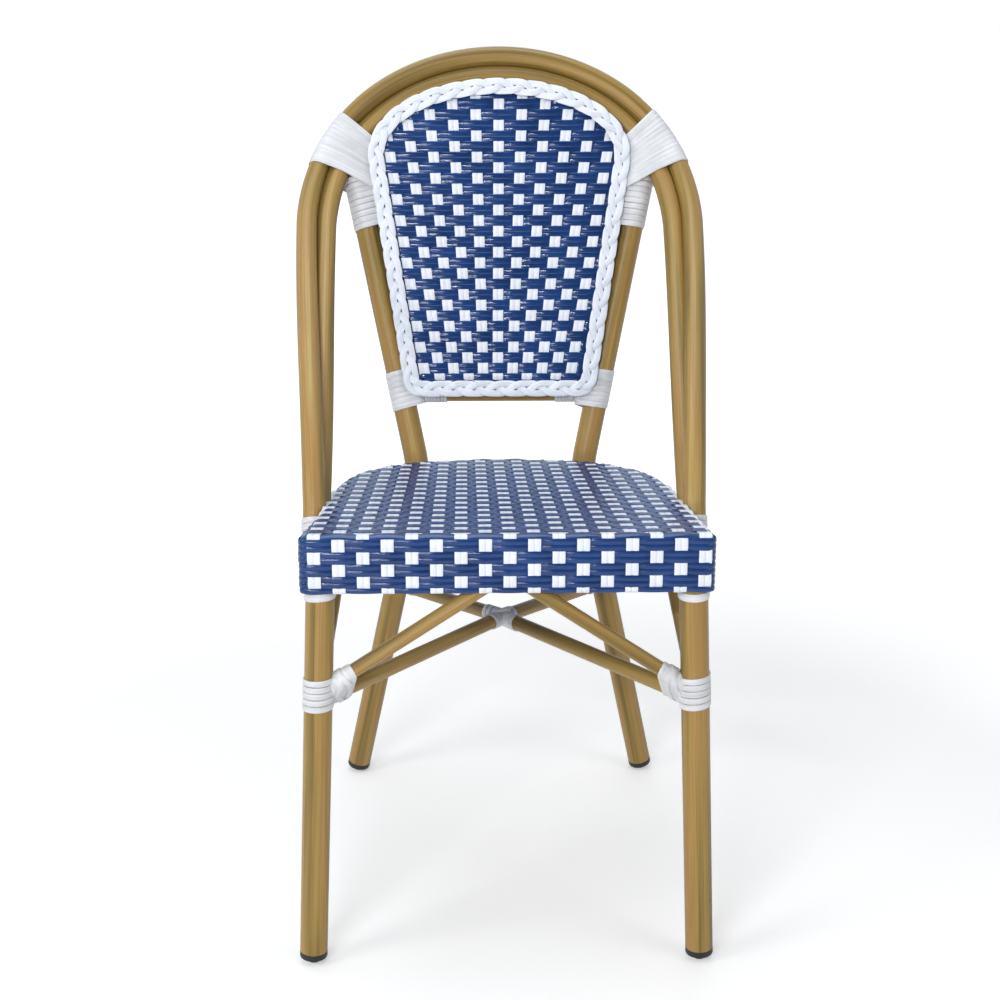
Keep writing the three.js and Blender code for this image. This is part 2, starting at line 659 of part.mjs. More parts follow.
// A closed skin lofted through rings of equally many points, with a pole at each end
function loft(firstPole, rings, lastPole) {
  const positions = [firstPole, ...rings.flat(), lastPole].flatMap((point) => point.toArray());
  const count = rings[0].length;
  const last = 1 + rings.length * count;
  const index = [];
  const at = (ring, place) => 1 + ring * count + place % count;
  for (let place = 0; place < count; place++) {
    index.push(0, at(0, place), at(0, place + 1));
    index.push(last, at(rings.length - 1, place + 1), at(rings.length - 1, place));
    for (let ring = 0; ring < rings.length - 1; ring++) {
      index.push(at(ring, place), at(ring + 1, place), at(ring + 1, place + 1));
      index.push(at(ring, place), at(ring + 1, place + 1), at(ring, place + 1));
    }
  }
  const geometry = new THREE.BufferGeometry();
  geometry.setAttribute('position', new THREE.Float32BufferAttribute(positions, 3));
  geometry.setIndex(index);
  geometry.computeVertexNormals();
  return geometry;
}

// Seat weave: a crowned top turned down over the rail into the apron, open underneath
function makeSeatWeave() {
  const middle = new THREE.Vector2(0, (SEAT_FRONT_EDGE + SEAT_BACK_DEPTH) / 2);
  const ring = (inset, drop, inwardShare = 0) => {
    const crown = SEAT_CROWN * (1 - (1 - inwardShare) ** 2);
    return seatOutline(inset).map((point) => seatPoint(point.lerp(middle, inwardShare), drop - crown));
  };
  const crownShares = [0.5];
  const edge = SEAT_EDGE_RADIUS;
  const inside = WEAVE_THICKNESS;
  const bend = Math.PI / 4;
  const outer = [
    ...crownShares.map((share) => ring(edge, 0, share)),
    ring(edge, 0),
    ring(edge * (1 - Math.sin(bend)), edge * (1 - Math.cos(bend))),
    ring(0, edge),
    ring(0, APRON_HEIGHT - edge),
    ring(SEAT_LIP, APRON_HEIGHT),
  ];
  const inner = [
    ring(inside + SEAT_LIP, APRON_HEIGHT),
    ring(inside, APRON_HEIGHT - edge),
    ring(inside, edge),
    ring(edge, inside),
    ...crownShares.toReversed().map((share) => ring(edge, inside, share)),
  ];
  const pole = (drop) => seatPoint(middle, drop - SEAT_CROWN);
  const skin = loft(pole(0), [...outer, ...inner], pole(inside));
  const stubs = [-1, 1].map((side) => rodCutter(...stubLine(side), STUB_DIAMETER, SMALL_SIDES));
  const bindings = [-1, 1].map((side) => envelope(hoopSeatBinding(side), STRIP_THICKNESS + GAP));
  const legs = [-1, 1].map(frontLegCutter);
  const opened = cut(skin, ...stubs, ...legs, ...hoopCutters(), ...bindings);
  addPiece('seat_weave', largestPart(opened), blueWeave());
}

// Hoops, cut where they bear on the seat rail
function makeHoops() {
  const railCutter = tube(seatRailPath, SEAT_RAIL_DIAMETER + 2 * GAP, SMALL_SIDES, RING_STEPS);
  const outer = tube(outerHoopPath, HOOP_DIAMETER, HOOP_SIDES, HOOP_STEPS);
  const inner = tube(innerHoopPath, HOOP_DIAMETER, HOOP_SIDES, HOOP_STEPS);
  addPiece('hoop_outer', cut(outer, railCutter), bamboo());
  addPiece('hoop_inner', cut(inner, railCutter), bamboo());
}

// Loops on the sloping back: sides along the uprights, a crowned top and two round corners
function backLoop({ top, bottom, bottomHalf, shoulder, shoulderHalf, shoulderHandle, crownHandle, corner }) {
  const sideUp = new THREE.Vector2(shoulderHalf - bottomHalf, shoulder - bottom).normalize();
  const shoulderPoint = new THREE.Vector2(shoulderHalf, shoulder);
  const cornerPoint = new THREE.Vector2(bottomHalf, bottom);
  const cornerTop = cornerPoint.clone().addScaledVector(sideUp, corner);
  const rise = shoulderPoint.clone().addScaledVector(sideUp, shoulderHandle);
  const mirror = (point) => new THREE.Vector2(-point.x, point.y);
  const path = new THREE.Path();
  path.moveTo(0, bottom);
  path.lineTo(bottomHalf - corner, bottom);
  path.quadraticCurveTo(cornerPoint.x, cornerPoint.y, cornerTop.x, cornerTop.y);
  path.lineTo(shoulderPoint.x, shoulderPoint.y);
  path.bezierCurveTo(rise.x, rise.y, crownHandle, top, 0, top);
  path.bezierCurveTo(-crownHandle, top, mirror(rise).x, rise.y, mirror(shoulderPoint).x, shoulderPoint.y);
  path.lineTo(mirror(cornerTop).x, cornerTop.y);
  path.quadraticCurveTo(mirror(cornerPoint).x, cornerPoint.y, corner - bottomHalf, bottom);
  path.lineTo(0, bottom);
  return path;
}

// The same loop set in space, with its ends butted at the bottom
class BackLoopCurve extends THREE.Curve {
  constructor(path, forward) {
    super();
    this.flat = path.getPoints(LOOP_SPLITS).map((point) => point.clone());
    this.flat[0].x += GAP;
    this.flat.at(-1).x -= GAP;
    this.steps = this.flat.length - 1;
    this.forward = forward;
  }

  station(index) {
    const place = this.flat[THREE.MathUtils.clamp(index, 0, this.steps)];
    return backPoint(place.x, place.y, this.forward);
  }

  getPoint(t) {
    return this.station(Math.round(t * this.steps));
  }

  getSpacedPoints() {
    return this.flat.map((_, index) => this.station(index));
  }

  computeFrenetFrames() {
    const front = new THREE.Vector3(0, -Math.cos(BACK_LEAN), Math.sin(BACK_LEAN));
    const tangents = this.flat.map((_, index) =>
      this.station(index + 1).sub(this.station(index - 1)).normalize());
    const normals = tangents.map((tangent) => front.clone().cross(tangent).normalize());
    return { tangents, normals, binormals: tangents.map(() => front.clone()) };
  }
}

// The rod's loop: inside the uprights and the inner hoop, on top of the bottom rail
function rodLoop() {
  const clear = (radius) => Math.sqrt((radius + ROD_RADIUS + GAP) ** 2 - ROD_FORWARD ** 2);
  const flare = Math.atan2(UPRIGHT_TOP_HALF_SPREAD - BEND_HALF_SPREAD, upSlope(UPRIGHT_TOP_HEIGHT));
  const sideAt = (up) => uprightHalfSpread(up) - clear(LEG_RADIUS) / Math.cos(flare);
  const bottom = BACK_RAIL_UP + clear(BACK_RAIL_RADIUS);
  const shoulder = HOOP_TOP - ROD_SHOULDER_DROP;
  return backLoop({
    top: HOOP_TOP - HOOP_DIAMETER - GAP - clear(HOOP_RADIUS),
    bottom,
    bottomHalf: sideAt(bottom),
    shoulder,
    shoulderHalf: sideAt(shoulder),
    shoulderHandle: ROD_SHOULDER_HANDLE,
    crownHandle: ROD_CROWN_HANDLE,
    corner: ROD_CORNER_RADIUS,
  });
}

function braidLoop() {
  const inset = BRAID_WIDTH / 2;
  return backLoop({
    top: HOOP_TOP - PANEL_TOP_DROP - inset,
    bottom: BACK_RAIL_UP - PANEL_BOTTOM_DROP + inset,
    bottomHalf: PANEL_BOTTOM_HALF_WIDTH - inset,
    shoulder: HOOP_TOP - PANEL_TOP_DROP - PANEL_SHOULDER_DROP,
    shoulderHalf: PANEL_SHOULDER_HALF_WIDTH - inset,
    shoulderHandle: PANEL_SHOULDER_HANDLE,
    crownHandle: PANEL_CROWN_HANDLE,
    corner: PANEL_CORNER_RADIUS - inset,
  });
}

function makeBackRod() {
  const path = new BackLoopCurve(rodLoop(), ROD_FORWARD);
  addPiece('back_edge_rod', tube(path, ROD_DIAMETER, SMALL_SIDES, path.steps), bareFrame());
}

function makeBraid() {
  const path = new BackLoopCurve(braidLoop(), BRAID_FORWARD);
  const halfWidth = BRAID_WIDTH / 2;
  const halfThickness = BRAID_THICKNESS / 2;
  const section = new THREE.Shape([
    new THREE.Vector2(halfWidth, 0),
    new THREE.Vector2(halfWidth - halfThickness, halfThickness),
    new THREE.Vector2(halfThickness - halfWidth, halfThickness),
    new THREE.Vector2(-halfWidth, 0),
    new THREE.Vector2(halfThickness - halfWidth, -halfThickness),
    new THREE.Vector2(halfWidth - halfThickness, -halfThickness),
  ]);
  const band = new THREE.ExtrudeGeometry(section, { extrudePath: path, steps: path.steps, bevelEnabled: false });
  addPiece('back_braid', band, whiteStrip());
}

// Back weave: a flat sheet over the rod, notched where the bindings pass
function makeBackWeave() {
  const outline = rodLoop().getPoints(LOOP_SPLITS).slice(1);
  const behind = ROD_FORWARD + ROD_RADIUS + GAP;
  const thickness = BRAID_FORWARD - BRAID_THICKNESS / 2 - GAP - behind;
  const sheet = new THREE.ExtrudeGeometry(new THREE.Shape(outline), { depth: thickness, bevelEnabled: false });
  const place = new THREE.Matrix4().makeBasis(
    new THREE.Vector3(1, 0, 0),
    new THREE.Vector3(0, Math.sin(BACK_LEAN), Math.cos(BACK_LEAN)),
    new THREE.Vector3(0, -Math.cos(BACK_LEAN), Math.sin(BACK_LEAN)),
  );
  place.setPosition(backPoint(0, 0, behind));
  sheet.applyMatrix4(place);
  const room = STRIP_THICKNESS + GAP;
  const bindings = [-1, 1].flatMap((side) => [
    envelope(shoulderBinding(side), room),
    envelope(uprightBinding(side), room),
    envelope(backRailBinding(side), room),
    hullOf(uprightLashingLoops(side), room + GAP),
  ]);
  addPiece('back_weave', largestPart(cut(sheet, ...bindings)), blueWeave());
}

function backRailLine() {
  return [-1, 1].map((side) => uprightPoint(side, BACK_RAIL_UP));
}

function makeBackRail() {
  const bar = rod(...backRailLine(), BACK_RAIL_DIAMETER, BRACE_SIDES);
  const uprights = [-1, 1].map((side) =>
    tube(rearLegPath(side), LEG_DIAMETER + 2 * GAP, LEG_SIDES, REAR_LEG_STEPS));
  addPiece('back_bottom_rail', largestPart(cut(bar, ...uprights)), bamboo());
}

// Braces: two struts up to the front rail, one each side up to the side rail, and a cross below
function frontStrutLine(side) {
  const top = apronRailFrontPoint(side * FRONT_STRUT_TOP_HALF_SPREAD);
  return [frontLegPoint(side, STRUT_FRONT_HEIGHT), top];
}

function apronRailFrontPoint(x) {
  return seatPoint(new THREE.Vector2(x, SEAT_FRONT_EDGE + APRON_RAIL_INSET), APRON_RAIL_DROP);
}

function sideStrutLine(side) {
  const halfWidth = seatHalfWidth(SIDE_STRUT_TOP_DEPTH, APRON_RAIL_INSET) - 2 * GAP;
  const top = seatPoint(new THREE.Vector2(side * halfWidth, SIDE_STRUT_TOP_DEPTH), APRON_RAIL_DROP);
  return [frontLegPoint(side, STRUT_FRONT_HEIGHT), top];
}

// The braces cross a little above the straight line between a front leg and the rear leg opposite
function crossingPoint() {
  const straightCrossing = between(braceJoint(1, true), braceJoint(-1, false), BRACE_CROSSING_SHARE);
  return straightCrossing.add(new THREE.Vector3(0, 0, BRACE_CROSSING_RISE));
}

function braceJoint(side, front) {
  return front ? frontLegPoint(side, BRACE_FRONT_HEIGHT) : rearLegPoint(side, BRACE_REAR_HEIGHT);
}

function armLine(side, front) {
  return [braceJoint(side, front), crossingPoint()];
}

// Two straight runs with a short bend between them
function bentPath(start, bend, end, bendLength) {
  const before = bend.clone().add(start.clone().sub(bend).setLength(bendLength / 2));
  const after = bend.clone().add(end.clone().sub(bend).setLength(bendLength / 2));
  const path = new THREE.CurvePath();
  path.add(straight(start, before));
  path.add(new THREE.QuadraticBezierCurve3(before, bend, after));
  path.add(straight(after, end));
  return path;
}

function wholeBrace(diameter) {
  const path = bentPath(braceJoint(1, true), crossingPoint(), braceJoint(-1, false), BRACE_BEND_LENGTH);
  return tube(path, diameter, BRACE_SIDES, BRACE_STEPS);
}

const brace = (line) => rod(...line, BRACE_DIAMETER, BRACE_SIDES);
const braceCutter = (line) => rodCutter(...line, BRACE_DIAMETER, BRACE_SIDES);
const strut = (line) => rod(...line, STRUT_DIAMETER, BRACE_SIDES);
const strutCutter = (line) => rodCutter(...line, STRUT_DIAMETER, BRACE_SIDES);
const apronRailCutter = () => tube(apronRailPath, APRON_RAIL_DIAMETER + 2 * GAP, SMALL_SIDES, RING_STEPS);
const rearLegCutter = (side) => tube(rearLegPath(side), LEG_DIAMETER + 2 * GAP, LEG_SIDES, REAR_LEG_STEPS);

function makeBraces() {
  for (const side of [-1, 1]) {
    const front = cut(strut(frontStrutLine(side)), frontLegCutter(side), apronRailCutter());
    addPiece(sideName('front_strut', side), largestPart(front), bamboo());
    const flank = cut(strut(sideStrutLine(side)), frontLegCutter(side), apronRailCutter(),
      strutCutter(frontStrutLine(side)));
    addPiece(sideName('side_strut', side), largestPart(flank), bamboo());
  }
  const whole = cut(wholeBrace(BRACE_DIAMETER), frontLegCutter(1), rearLegCutter(-1),
    strutCutter(frontStrutLine(1)), strutCutter(sideStrutLine(1)));
  addPiece('cross_brace_whole', largestPart(whole), bamboo());
  const frontArm = cut(brace(armLine(-1, true)), frontLegCutter(-1), strutCutter(frontStrutLine(-1)),
    strutCutter(sideStrutLine(-1)), wholeBrace(BRACE_DIAMETER + 2 * GAP));
  addPiece('cross_brace_front_arm', largestPart(frontArm), bamboo());
  const rearArm = cut(brace(armLine(1, false)), rearLegCutter(1), wholeBrace(BRACE_DIAMETER + 2 * GAP));
  addPiece('cross_brace_rear_arm', largestPart(rearArm), bamboo());
}

// A bundle is the cross-section that a binding goes round: one tube, or two side by side.
// loopPlace gives the place and outward direction on the tight loop round it, by steps.
function loopPlace(bundle, step) {
  const { first, second, firstRadius, secondRadius, along } = bundle;
  const across = second.clone().sub(first);
  across.addScaledVector(along, -across.dot(along));
  const distance = across.length();
  across.normalize();
  const out = along.clone().cross(across);
  const turn = Math.acos(THREE.MathUtils.clamp((firstRadius - secondRadius) / distance, -1, 1));
  const stretch = (sweep, steps) => 1 / Math.cos(sweep / steps / 2);
  const firstSweep = 2 * (Math.PI - turn);
  const secondSweep = 2 * turn;
  const place = step % TURN_STEPS;
  const onFirst = place <= FIRST_ARC_STEPS;
  const angle = onFirst
    ? turn + firstSweep * place / FIRST_ARC_STEPS
    : -turn + secondSweep * Math.min(1, (place - FIRST_ARC_STEPS - 1) / SECOND_ARC_STEPS);
  const centre = onFirst ? first : second;
  const reach = onFirst
    ? (firstRadius + GAP) * stretch(firstSweep, FIRST_ARC_STEPS)
    : (secondRadius + GAP) * stretch(secondSweep, SECOND_ARC_STEPS);
  const outward = across.clone().multiplyScalar(Math.cos(angle)).addScaledVector(out, Math.sin(angle));
  return { point: centre.clone().addScaledVector(outward, reach), outward };
}

// A flat strip wound round a bundle in one unbroken helix
class StripWinding extends THREE.Curve {
  constructor(bundleAt, turns, tilt = 0) {
    super();
    this.bundleAt = bundleAt;
    this.steps = turns * TURN_STEPS;
    this.tilt = tilt;
  }

  place(t) {
    const step = Math.round(t * this.steps);
    const bundle = this.bundleAt(t);
    const { point, outward } = loopPlace(bundle, step);
    point.addScaledVector(bundle.along, this.tilt * Math.sign(bundle.first.x) * outward.x);
    return { point, outward };
  }

  getPoint(t) {
    return this.place(t).point;
  }

  getSpacedPoints(divisions) {
    return this.getPoints(divisions);
  }

  computeFrenetFrames(segments) {
    const frames = { tangents: [], normals: [], binormals: [] };
    for (let step = 0; step <= segments; step++) {
      const before = this.getPoint(Math.max(0, step - 1) / segments);
      const after = this.getPoint(Math.min(segments, step + 1) / segments);
      const tangent = after.sub(before).normalize();
      const normal = this.place(step / segments).outward;
      normal.addScaledVector(tangent, -normal.dot(tangent)).normalize();
      frames.tangents.push(tangent);
      frames.normals.push(normal);
      frames.binormals.push(tangent.clone().cross(normal));
    }
    return frames;
  }

  // The least gap between one turn's edge and the next turn's, measured at every step
  leastGap(width) {
    const points = this.getPoints(this.steps);
    const { binormals } = this.computeFrenetFrames(this.steps);
    let least = Infinity;
    for (let step = 0; step + TURN_STEPS <= this.steps; step++) {
      const apart = points[step + TURN_STEPS].clone().sub(points[step]);
      least = Math.min(least, Math.abs(apart.dot(binormals[step])) - width);
    }
    return least;
  }
}

function wind(name, winding, width = STRIP_WIDTH) {
  const section = new THREE.Shape([
    new THREE.Vector2(0, -width / 2),
    new THREE.Vector2(STRIP_THICKNESS, -width / 2),
    new THREE.Vector2(STRIP_THICKNESS, width / 2),
    new THREE.Vector2(0, width / 2),
  ]);
  const strip = new THREE.ExtrudeGeometry(section, {
    extrudePath: winding, steps: winding.steps, bevelEnabled: false,
  });
  console.log(`${name}: least gap to itself ${winding.leastGap(width).toFixed(2)} mm`);
  addPiece(name, strip, whiteStrip());
}

// The convex room that a winding takes up, with a margin
function envelope(winding, margin) {
  const frames = winding.computeFrenetFrames(winding.steps);
  const points = winding.getPoints(winding.steps).flatMap((point, step) => {
    const outer = point.clone().addScaledVector(frames.normals[step], margin);
    const half = frames.binormals[step].clone().multiplyScalar(STRIP_WIDTH / 2 + GAP);
    return [outer.clone().add(half), outer.clone().sub(half)];
  });
  return new ConvexGeometry(points);
}

// Bundles along an upright: the upright itself and the rod of the back panel beside it
function uprightBundle(side, up, alongWay = 1) {
  const first = uprightPoint(side, up);
  const along = uprightPoint(side, up + 1).sub(first).normalize().multiplyScalar(alongWay);
  const inward = new THREE.Vector3(-side, 0, 0);
  inward.addScaledVector(along, -inward.dot(along)).normalize();
  const front = new THREE.Vector3(0, -Math.cos(BACK_LEAN), Math.sin(BACK_LEAN));
  const apart = LEG_RADIUS + ROD_RADIUS + GAP;
  const sideways = Math.sqrt(apart ** 2 - ROD_FORWARD ** 2);
  const second = first.clone().addScaledVector(inward, sideways).addScaledVector(front, ROD_FORWARD);
  return { first, second, firstRadius: LEG_RADIUS, secondRadius: ROD_RADIUS, along };
}

function uprightBinding(side) {
  const top = upSlope(UPRIGHT_BINDING_TOP_HEIGHT);
  const length = UPRIGHT_TURNS * STRIP_PITCH;
  return new StripWinding((t) => uprightBundle(side, top - length * t, -1), UPRIGHT_TURNS);
}

// Bundle at the shoulder: both hoops, side by side
function shoulderBundle(side, t) {
  const hoop = hoopSides[side];
  const length = SHOULDER_BINDING_START + t * SHOULDER_TURNS * SHOULDER_PITCH;
  const place = hoop.getUtoTmapping(length / hoop.getLength());
  const { point, along } = hoop.frame(place);
  return {
    first: point,
    second: hoop.innerPoint(place),
    firstRadius: HOOP_RADIUS + BEND_ROOM,
    secondRadius: HOOP_RADIUS + BEND_ROOM,
    along,
  };
}

function shoulderBinding(side) {
  return new StripWinding((t) => shoulderBundle(side, t), SHOULDER_TURNS);
}

// Bundle on the back's bottom rail: the rail and the rod that lies on top of it
function backRailBinding(side) {
  const clear = Math.sqrt((BACK_RAIL_RADIUS + ROD_RADIUS + GAP) ** 2 - ROD_FORWARD ** 2);
  const pitch = FINE_STRIP_WIDTH + STRIP_SPACE;
  const bundleAt = (t) => {
    const x = side * (BACK_RAIL_BINDING_HALF_WIDTH - t * BACK_RAIL_TURNS * pitch);
    return {
      first: backPoint(x, BACK_RAIL_UP, 0),
      second: backPoint(x, BACK_RAIL_UP + clear, ROD_FORWARD),
      firstRadius: BACK_RAIL_RADIUS,
      secondRadius: ROD_RADIUS,
      along: new THREE.Vector3(-side, 0, 0),
    };
  };
  return new StripWinding(bundleAt, BACK_RAIL_TURNS);
}

// Bundle beside the seat: the two hoops where they reach it
function hoopSeatBinding(side) {
  const hoop = hoopSides[side];
  const bundleAt = (t) => {
    const fromEnd = HOOP_TAIL + HOOP_SEAT_BINDING_START - t * HOOP_SEAT_TURNS * STRIP_PITCH;
    const along = 1 - fromEnd / hoop.getLength();
    const place = hoop.getUtoTmapping(along);
    const frame = hoop.frame(place);
    return {
      first: frame.point,
      second: hoop.innerPoint(place),
      firstRadius: HOOP_RADIUS + GAP,
      secondRadius: HOOP_RADIUS + GAP,
      along: frame.along,
    };
  };
  return new StripWinding(bundleAt, HOOP_SEAT_TURNS);
}

// Two slanting turns round the top of each front leg, just under the apron
function legTopBinding(side) {
  const top = seatHeight(0) - APRON_HEIGHT - STRIP_WIDTH / 2 - LEG_TOP_TILT - 2 * GAP;
  const bundleAt = (t) => {
    const first = frontLegPoint(side, top - t * LEG_TOP_TURNS * STRIP_PITCH);
    const along = frontLegPoint(side, 0).sub(frontLegPoint(side, top)).normalize();
    const second = first.clone().add(new THREE.Vector3(-side * GAP, 0, 0));
    return { first, second, firstRadius: LEG_RADIUS, secondRadius: LEG_RADIUS, along };
  };
  return new StripWinding(bundleAt, LEG_TOP_TURNS, LEG_TOP_TILT);
}

function makeWindings() {
  for (const side of [-1, 1]) {
    wind(sideName('shoulder_binding', side), shoulderBinding(side));
    wind(sideName('upright_binding', side), uprightBinding(side));
    wind(sideName('back_rail_binding', side), backRailBinding(side), FINE_STRIP_WIDTH);
    wind(sideName('hoop_seat_binding', side), hoopSeatBinding(side));
    wind(sideName('leg_top_binding', side), legTopBinding(side));
  }
}

// Lashings: flat loops side by side round a bundle, every other one standing a little lower,
// joined into one body and cleared for the tubes
function loopRing(bundle, margin, width) {
  return Array.from({ length: TURN_STEPS }, (_, step) => loopPlace(bundle, step)).map(({ point, outward }) =>
    point.clone().addScaledVector(outward, margin).addScaledVector(bundle.along, width));
}

function lashing(bundles) {
  const halfWidth = STRIP_PITCH / 2 - GAP / 2;
  const rings = bundles.flatMap((bundle, loop) => {
    const margin = loop % 2 === 0 ? STRIP_THICKNESS : LOW_LOOP_SHARE * STRIP_THICKNESS;
    return [loopRing(bundle, margin, -halfWidth), loopRing(bundle, margin, halfWidth)];
  });
  const middle = ({ first, second, along }, width) => between(first, second, 1 / 2).addScaledVector(along, width);
  return loft(middle(bundles.at(-1), halfWidth), rings.reverse(), middle(bundles[0], -halfWidth));
}

function hullOf(bundles, margin) {
  return new ConvexGeometry(bundles.flatMap((bundle) =>
    [-1, 1].flatMap((side) => loopRing(bundle, margin, side * (STRIP_PITCH / 2 + GAP)))));
}

function uprightLashingLoops(side) {
  const top = upSlope(UPRIGHT_LASHING_TOP_HEIGHT) - STRIP_PITCH / 2;
  return Array.from({ length: UPRIGHT_LASHING_LOOPS }, (_, loop) =>
    uprightBundle(side, top - loop * STRIP_PITCH, -1));
}

function soloBundle(first, along) {
  const second = first.clone().add(new THREE.Vector3(along.z, along.x, along.y).cross(along).setLength(GAP));
  return { first, second, along };
}

// Loops round one tube, set evenly between two distances along its line
function tubeLoops([from, to], radius, start, end) {
  const along = to.clone().sub(from).normalize();
  const count = Math.max(1, Math.round((end - start) / STRIP_PITCH));
  const pitch = (end - start) / count;
  return Array.from({ length: count }, (_, loop) => ({
    ...soloBundle(from.clone().addScaledVector(along, start + pitch * (loop + 1 / 2)), along),
    firstRadius: radius,
    secondRadius: radius,
  }));
}

function makeUprightLashing(side) {
  const body = lashing(uprightLashingLoops(side));
  const rodPath = new BackLoopCurve(rodLoop(), ROD_FORWARD);
  const rodCut = tube(rodPath, ROD_DIAMETER + 2 * GAP, SMALL_SIDES, rodPath.steps);
  const railCut = rodCutter(...backRailLine(), BACK_RAIL_DIAMETER, BRACE_SIDES);
  const cleared = cut(body, rearLegCutter(side), rodCut, railCut);
  addPiece(sideName('upright_lashing', side), largestPart(cleared), whiteStrip());
}

// Round each front leg where the braces meet it, and out along the two braces in front
function makeLegLashing(side) {
  const half = STRIP_PITCH * LEG_LASHING_LOOPS / 2;
  const legLine = [frontLegPoint(side, 0), frontLegPoint(side, seatHeight(0))];
  const middle = frontLegPoint(side, STRUT_FRONT_HEIGHT).distanceTo(legLine[0]) + LEG_LASHING_RISE;
  const legLoops = tubeLoops(legLine, LEG_RADIUS, middle - half, middle + half);
  const strutLine = frontStrutLine(side);
  const cross = armLine(side, true);
  const along = (line, reach) => line[0].clone().add(line[1].clone().sub(line[0]).setLength(reach));
  const count = Math.round((STRUT_LASHING_END - STRUT_LASHING_START) / STRIP_PITCH);
  const strutLoops = Array.from({ length: count + 1 }, (_, loop) => {
    const reach = STRUT_LASHING_START + (STRUT_LASHING_END - STRUT_LASHING_START) * loop / count;
    const first = along(strutLine, reach);
    const second = along(cross, reach);
    const forward = along(strutLine, 1).add(along(cross, 1)).sub(strutLine[0]).sub(cross[0]).normalize();
    return { first, second, firstRadius: STRUT_RADIUS, secondRadius: BRACE_RADIUS, along: forward };
  });
  const body = join(lashing(legLoops), lashing(strutLoops));
  const cleared = cut(body, frontLegCutter(side), strutCutter(strutLine), braceCutter(cross),
    strutCutter(sideStrutLine(side)));
  addPiece(sideName('leg_lashing', side), largestPart(cleared), whiteStrip());
}

// Where the cross braces meet: loops out along all four arms
function makeCrossingLashing() {
  const centre = crossingPoint();
  const ends = [-1, 1].flatMap((side) => [braceJoint(side, true), braceJoint(side, false)]);
  const arms = ends.map((end) => lashing(tubeLoops([centre, end], BRACE_RADIUS, 0, CROSSING_LASHING_REACH)));
  const lines = [armLine(-1, true), armLine(1, false)];
  const cleared = cut(join(...arms), wholeBrace(BRACE_DIAMETER + 2 * GAP), ...lines.map(braceCutter));
  addPiece('crossing_lashing', largestPart(cleared), whiteStrip());
}

// Round the rear end of each cross brace, against the rear leg
function makeRearLashing(side) {
  const line = armLine(side, false);
  const body = lashing(tubeLoops(line, BRACE_RADIUS, LEG_RADIUS, REAR_LASHING_REACH));
  const cleared = cut(body, rearLegCutter(side), braceCutter(line));
  addPiece(sideName('rear_lashing', side), largestPart(cleared), whiteStrip());
}

for (const side of [-1, 1]) {
  makeFrontLeg(side);
  makeRearLeg(side);
  makeGlide(sideName('front_glide', side), ...frontLegAxis(side));
  makeGlide(sideName('rear_glide', side), rearFoot(side), bendPoint(side));
  makeStub(side);
}
makeHoops();
makeSeatRails();
makePosts();
makeSupportBars();
makeSeatWeave();
makeBackRail();
makeBackRod();
makeBackWeave();
makeBraid();
makeBraces();
makeWindings();
for (const side of [-1, 1]) {
  makeUprightLashing(side);
  makeLegLashing(side);
  makeRearLashing(side);
}
makeCrossingLashing();

// The finished chair stands with the middle of its depth on Y = 0
const room = new THREE.Box3().setFromObject(chair);
chair.position.y = -(room.min.y + room.max.y) / 2;

export default chair;
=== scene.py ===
import math
import random
from functools import partial

import bmesh
import bpy
from mathutils import Matrix, Vector


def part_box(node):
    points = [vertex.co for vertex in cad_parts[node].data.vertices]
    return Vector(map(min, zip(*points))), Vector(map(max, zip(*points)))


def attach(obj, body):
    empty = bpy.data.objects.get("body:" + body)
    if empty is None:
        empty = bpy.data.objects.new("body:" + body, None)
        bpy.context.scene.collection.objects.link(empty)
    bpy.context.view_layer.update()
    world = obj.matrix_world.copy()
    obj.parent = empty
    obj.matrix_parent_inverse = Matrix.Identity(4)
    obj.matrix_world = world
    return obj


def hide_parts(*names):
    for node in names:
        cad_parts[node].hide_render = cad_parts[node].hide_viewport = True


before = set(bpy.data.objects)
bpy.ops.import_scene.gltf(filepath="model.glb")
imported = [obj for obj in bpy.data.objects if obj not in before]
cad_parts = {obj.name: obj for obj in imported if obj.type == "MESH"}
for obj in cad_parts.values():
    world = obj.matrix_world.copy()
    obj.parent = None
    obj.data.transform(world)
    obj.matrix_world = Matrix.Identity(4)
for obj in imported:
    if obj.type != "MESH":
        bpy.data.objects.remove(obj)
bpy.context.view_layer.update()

# Camera. A normal lens at the height of the hoops' top, a stride and a half in
# front of the chair and a little to its left, looking down at it.
SENSOR = 36
LENS = 57.24
VIEW_END = 100
CAMERA_SIDE = -0.0315
CAMERA_AWAY = 1.436
CAMERA_HEIGHT = 0.8935
CAMERA_DOWN = 15.8
CAMERA_TURN = -0.98
leg_low, leg_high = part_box("front_leg_left")
leg_depth = (leg_low.y + leg_high.y) / 2
camera_data = bpy.data.cameras.new("camera")
camera_data.sensor_width = SENSOR
camera_data.lens = LENS
camera_data.clip_end = VIEW_END
camera = bpy.data.objects.new("camera", camera_data)
camera.location = (CAMERA_SIDE, leg_depth - CAMERA_AWAY, CAMERA_HEIGHT)
camera.rotation_euler = (math.radians(90 - CAMERA_DOWN), 0, math.radians(CAMERA_TURN))
bpy.context.collection.objects.link(camera)
bpy.context.scene.camera = camera

# Studio. A plain white floor that keeps the chair's shadow, in a pale room. Soft lamps
# stand at the left, at the right, above and behind, and two narrow ones in front.
FLOOR_REACH = 30
FLOOR_SHADE = (0.85, 0.85, 0.85, 1)
SHADOW_ENDS = 0.7, 2.2
SHADOW_GLOW = 0.34
FLOOR_MIRRORED = -1.2, 0.2
ROOM_MIRRORED = -0.5, 0.2
ROOM_LIGHT = 0.25
ROOM_SHINE = 0.06
ROOM_SHINE_TINT = (0.74, 0.88, 1.0)
WHITE = (1, 1, 1)
COOL = (0.94, 0.97, 1.0)
SKY = (0.86, 0.93, 1.0)


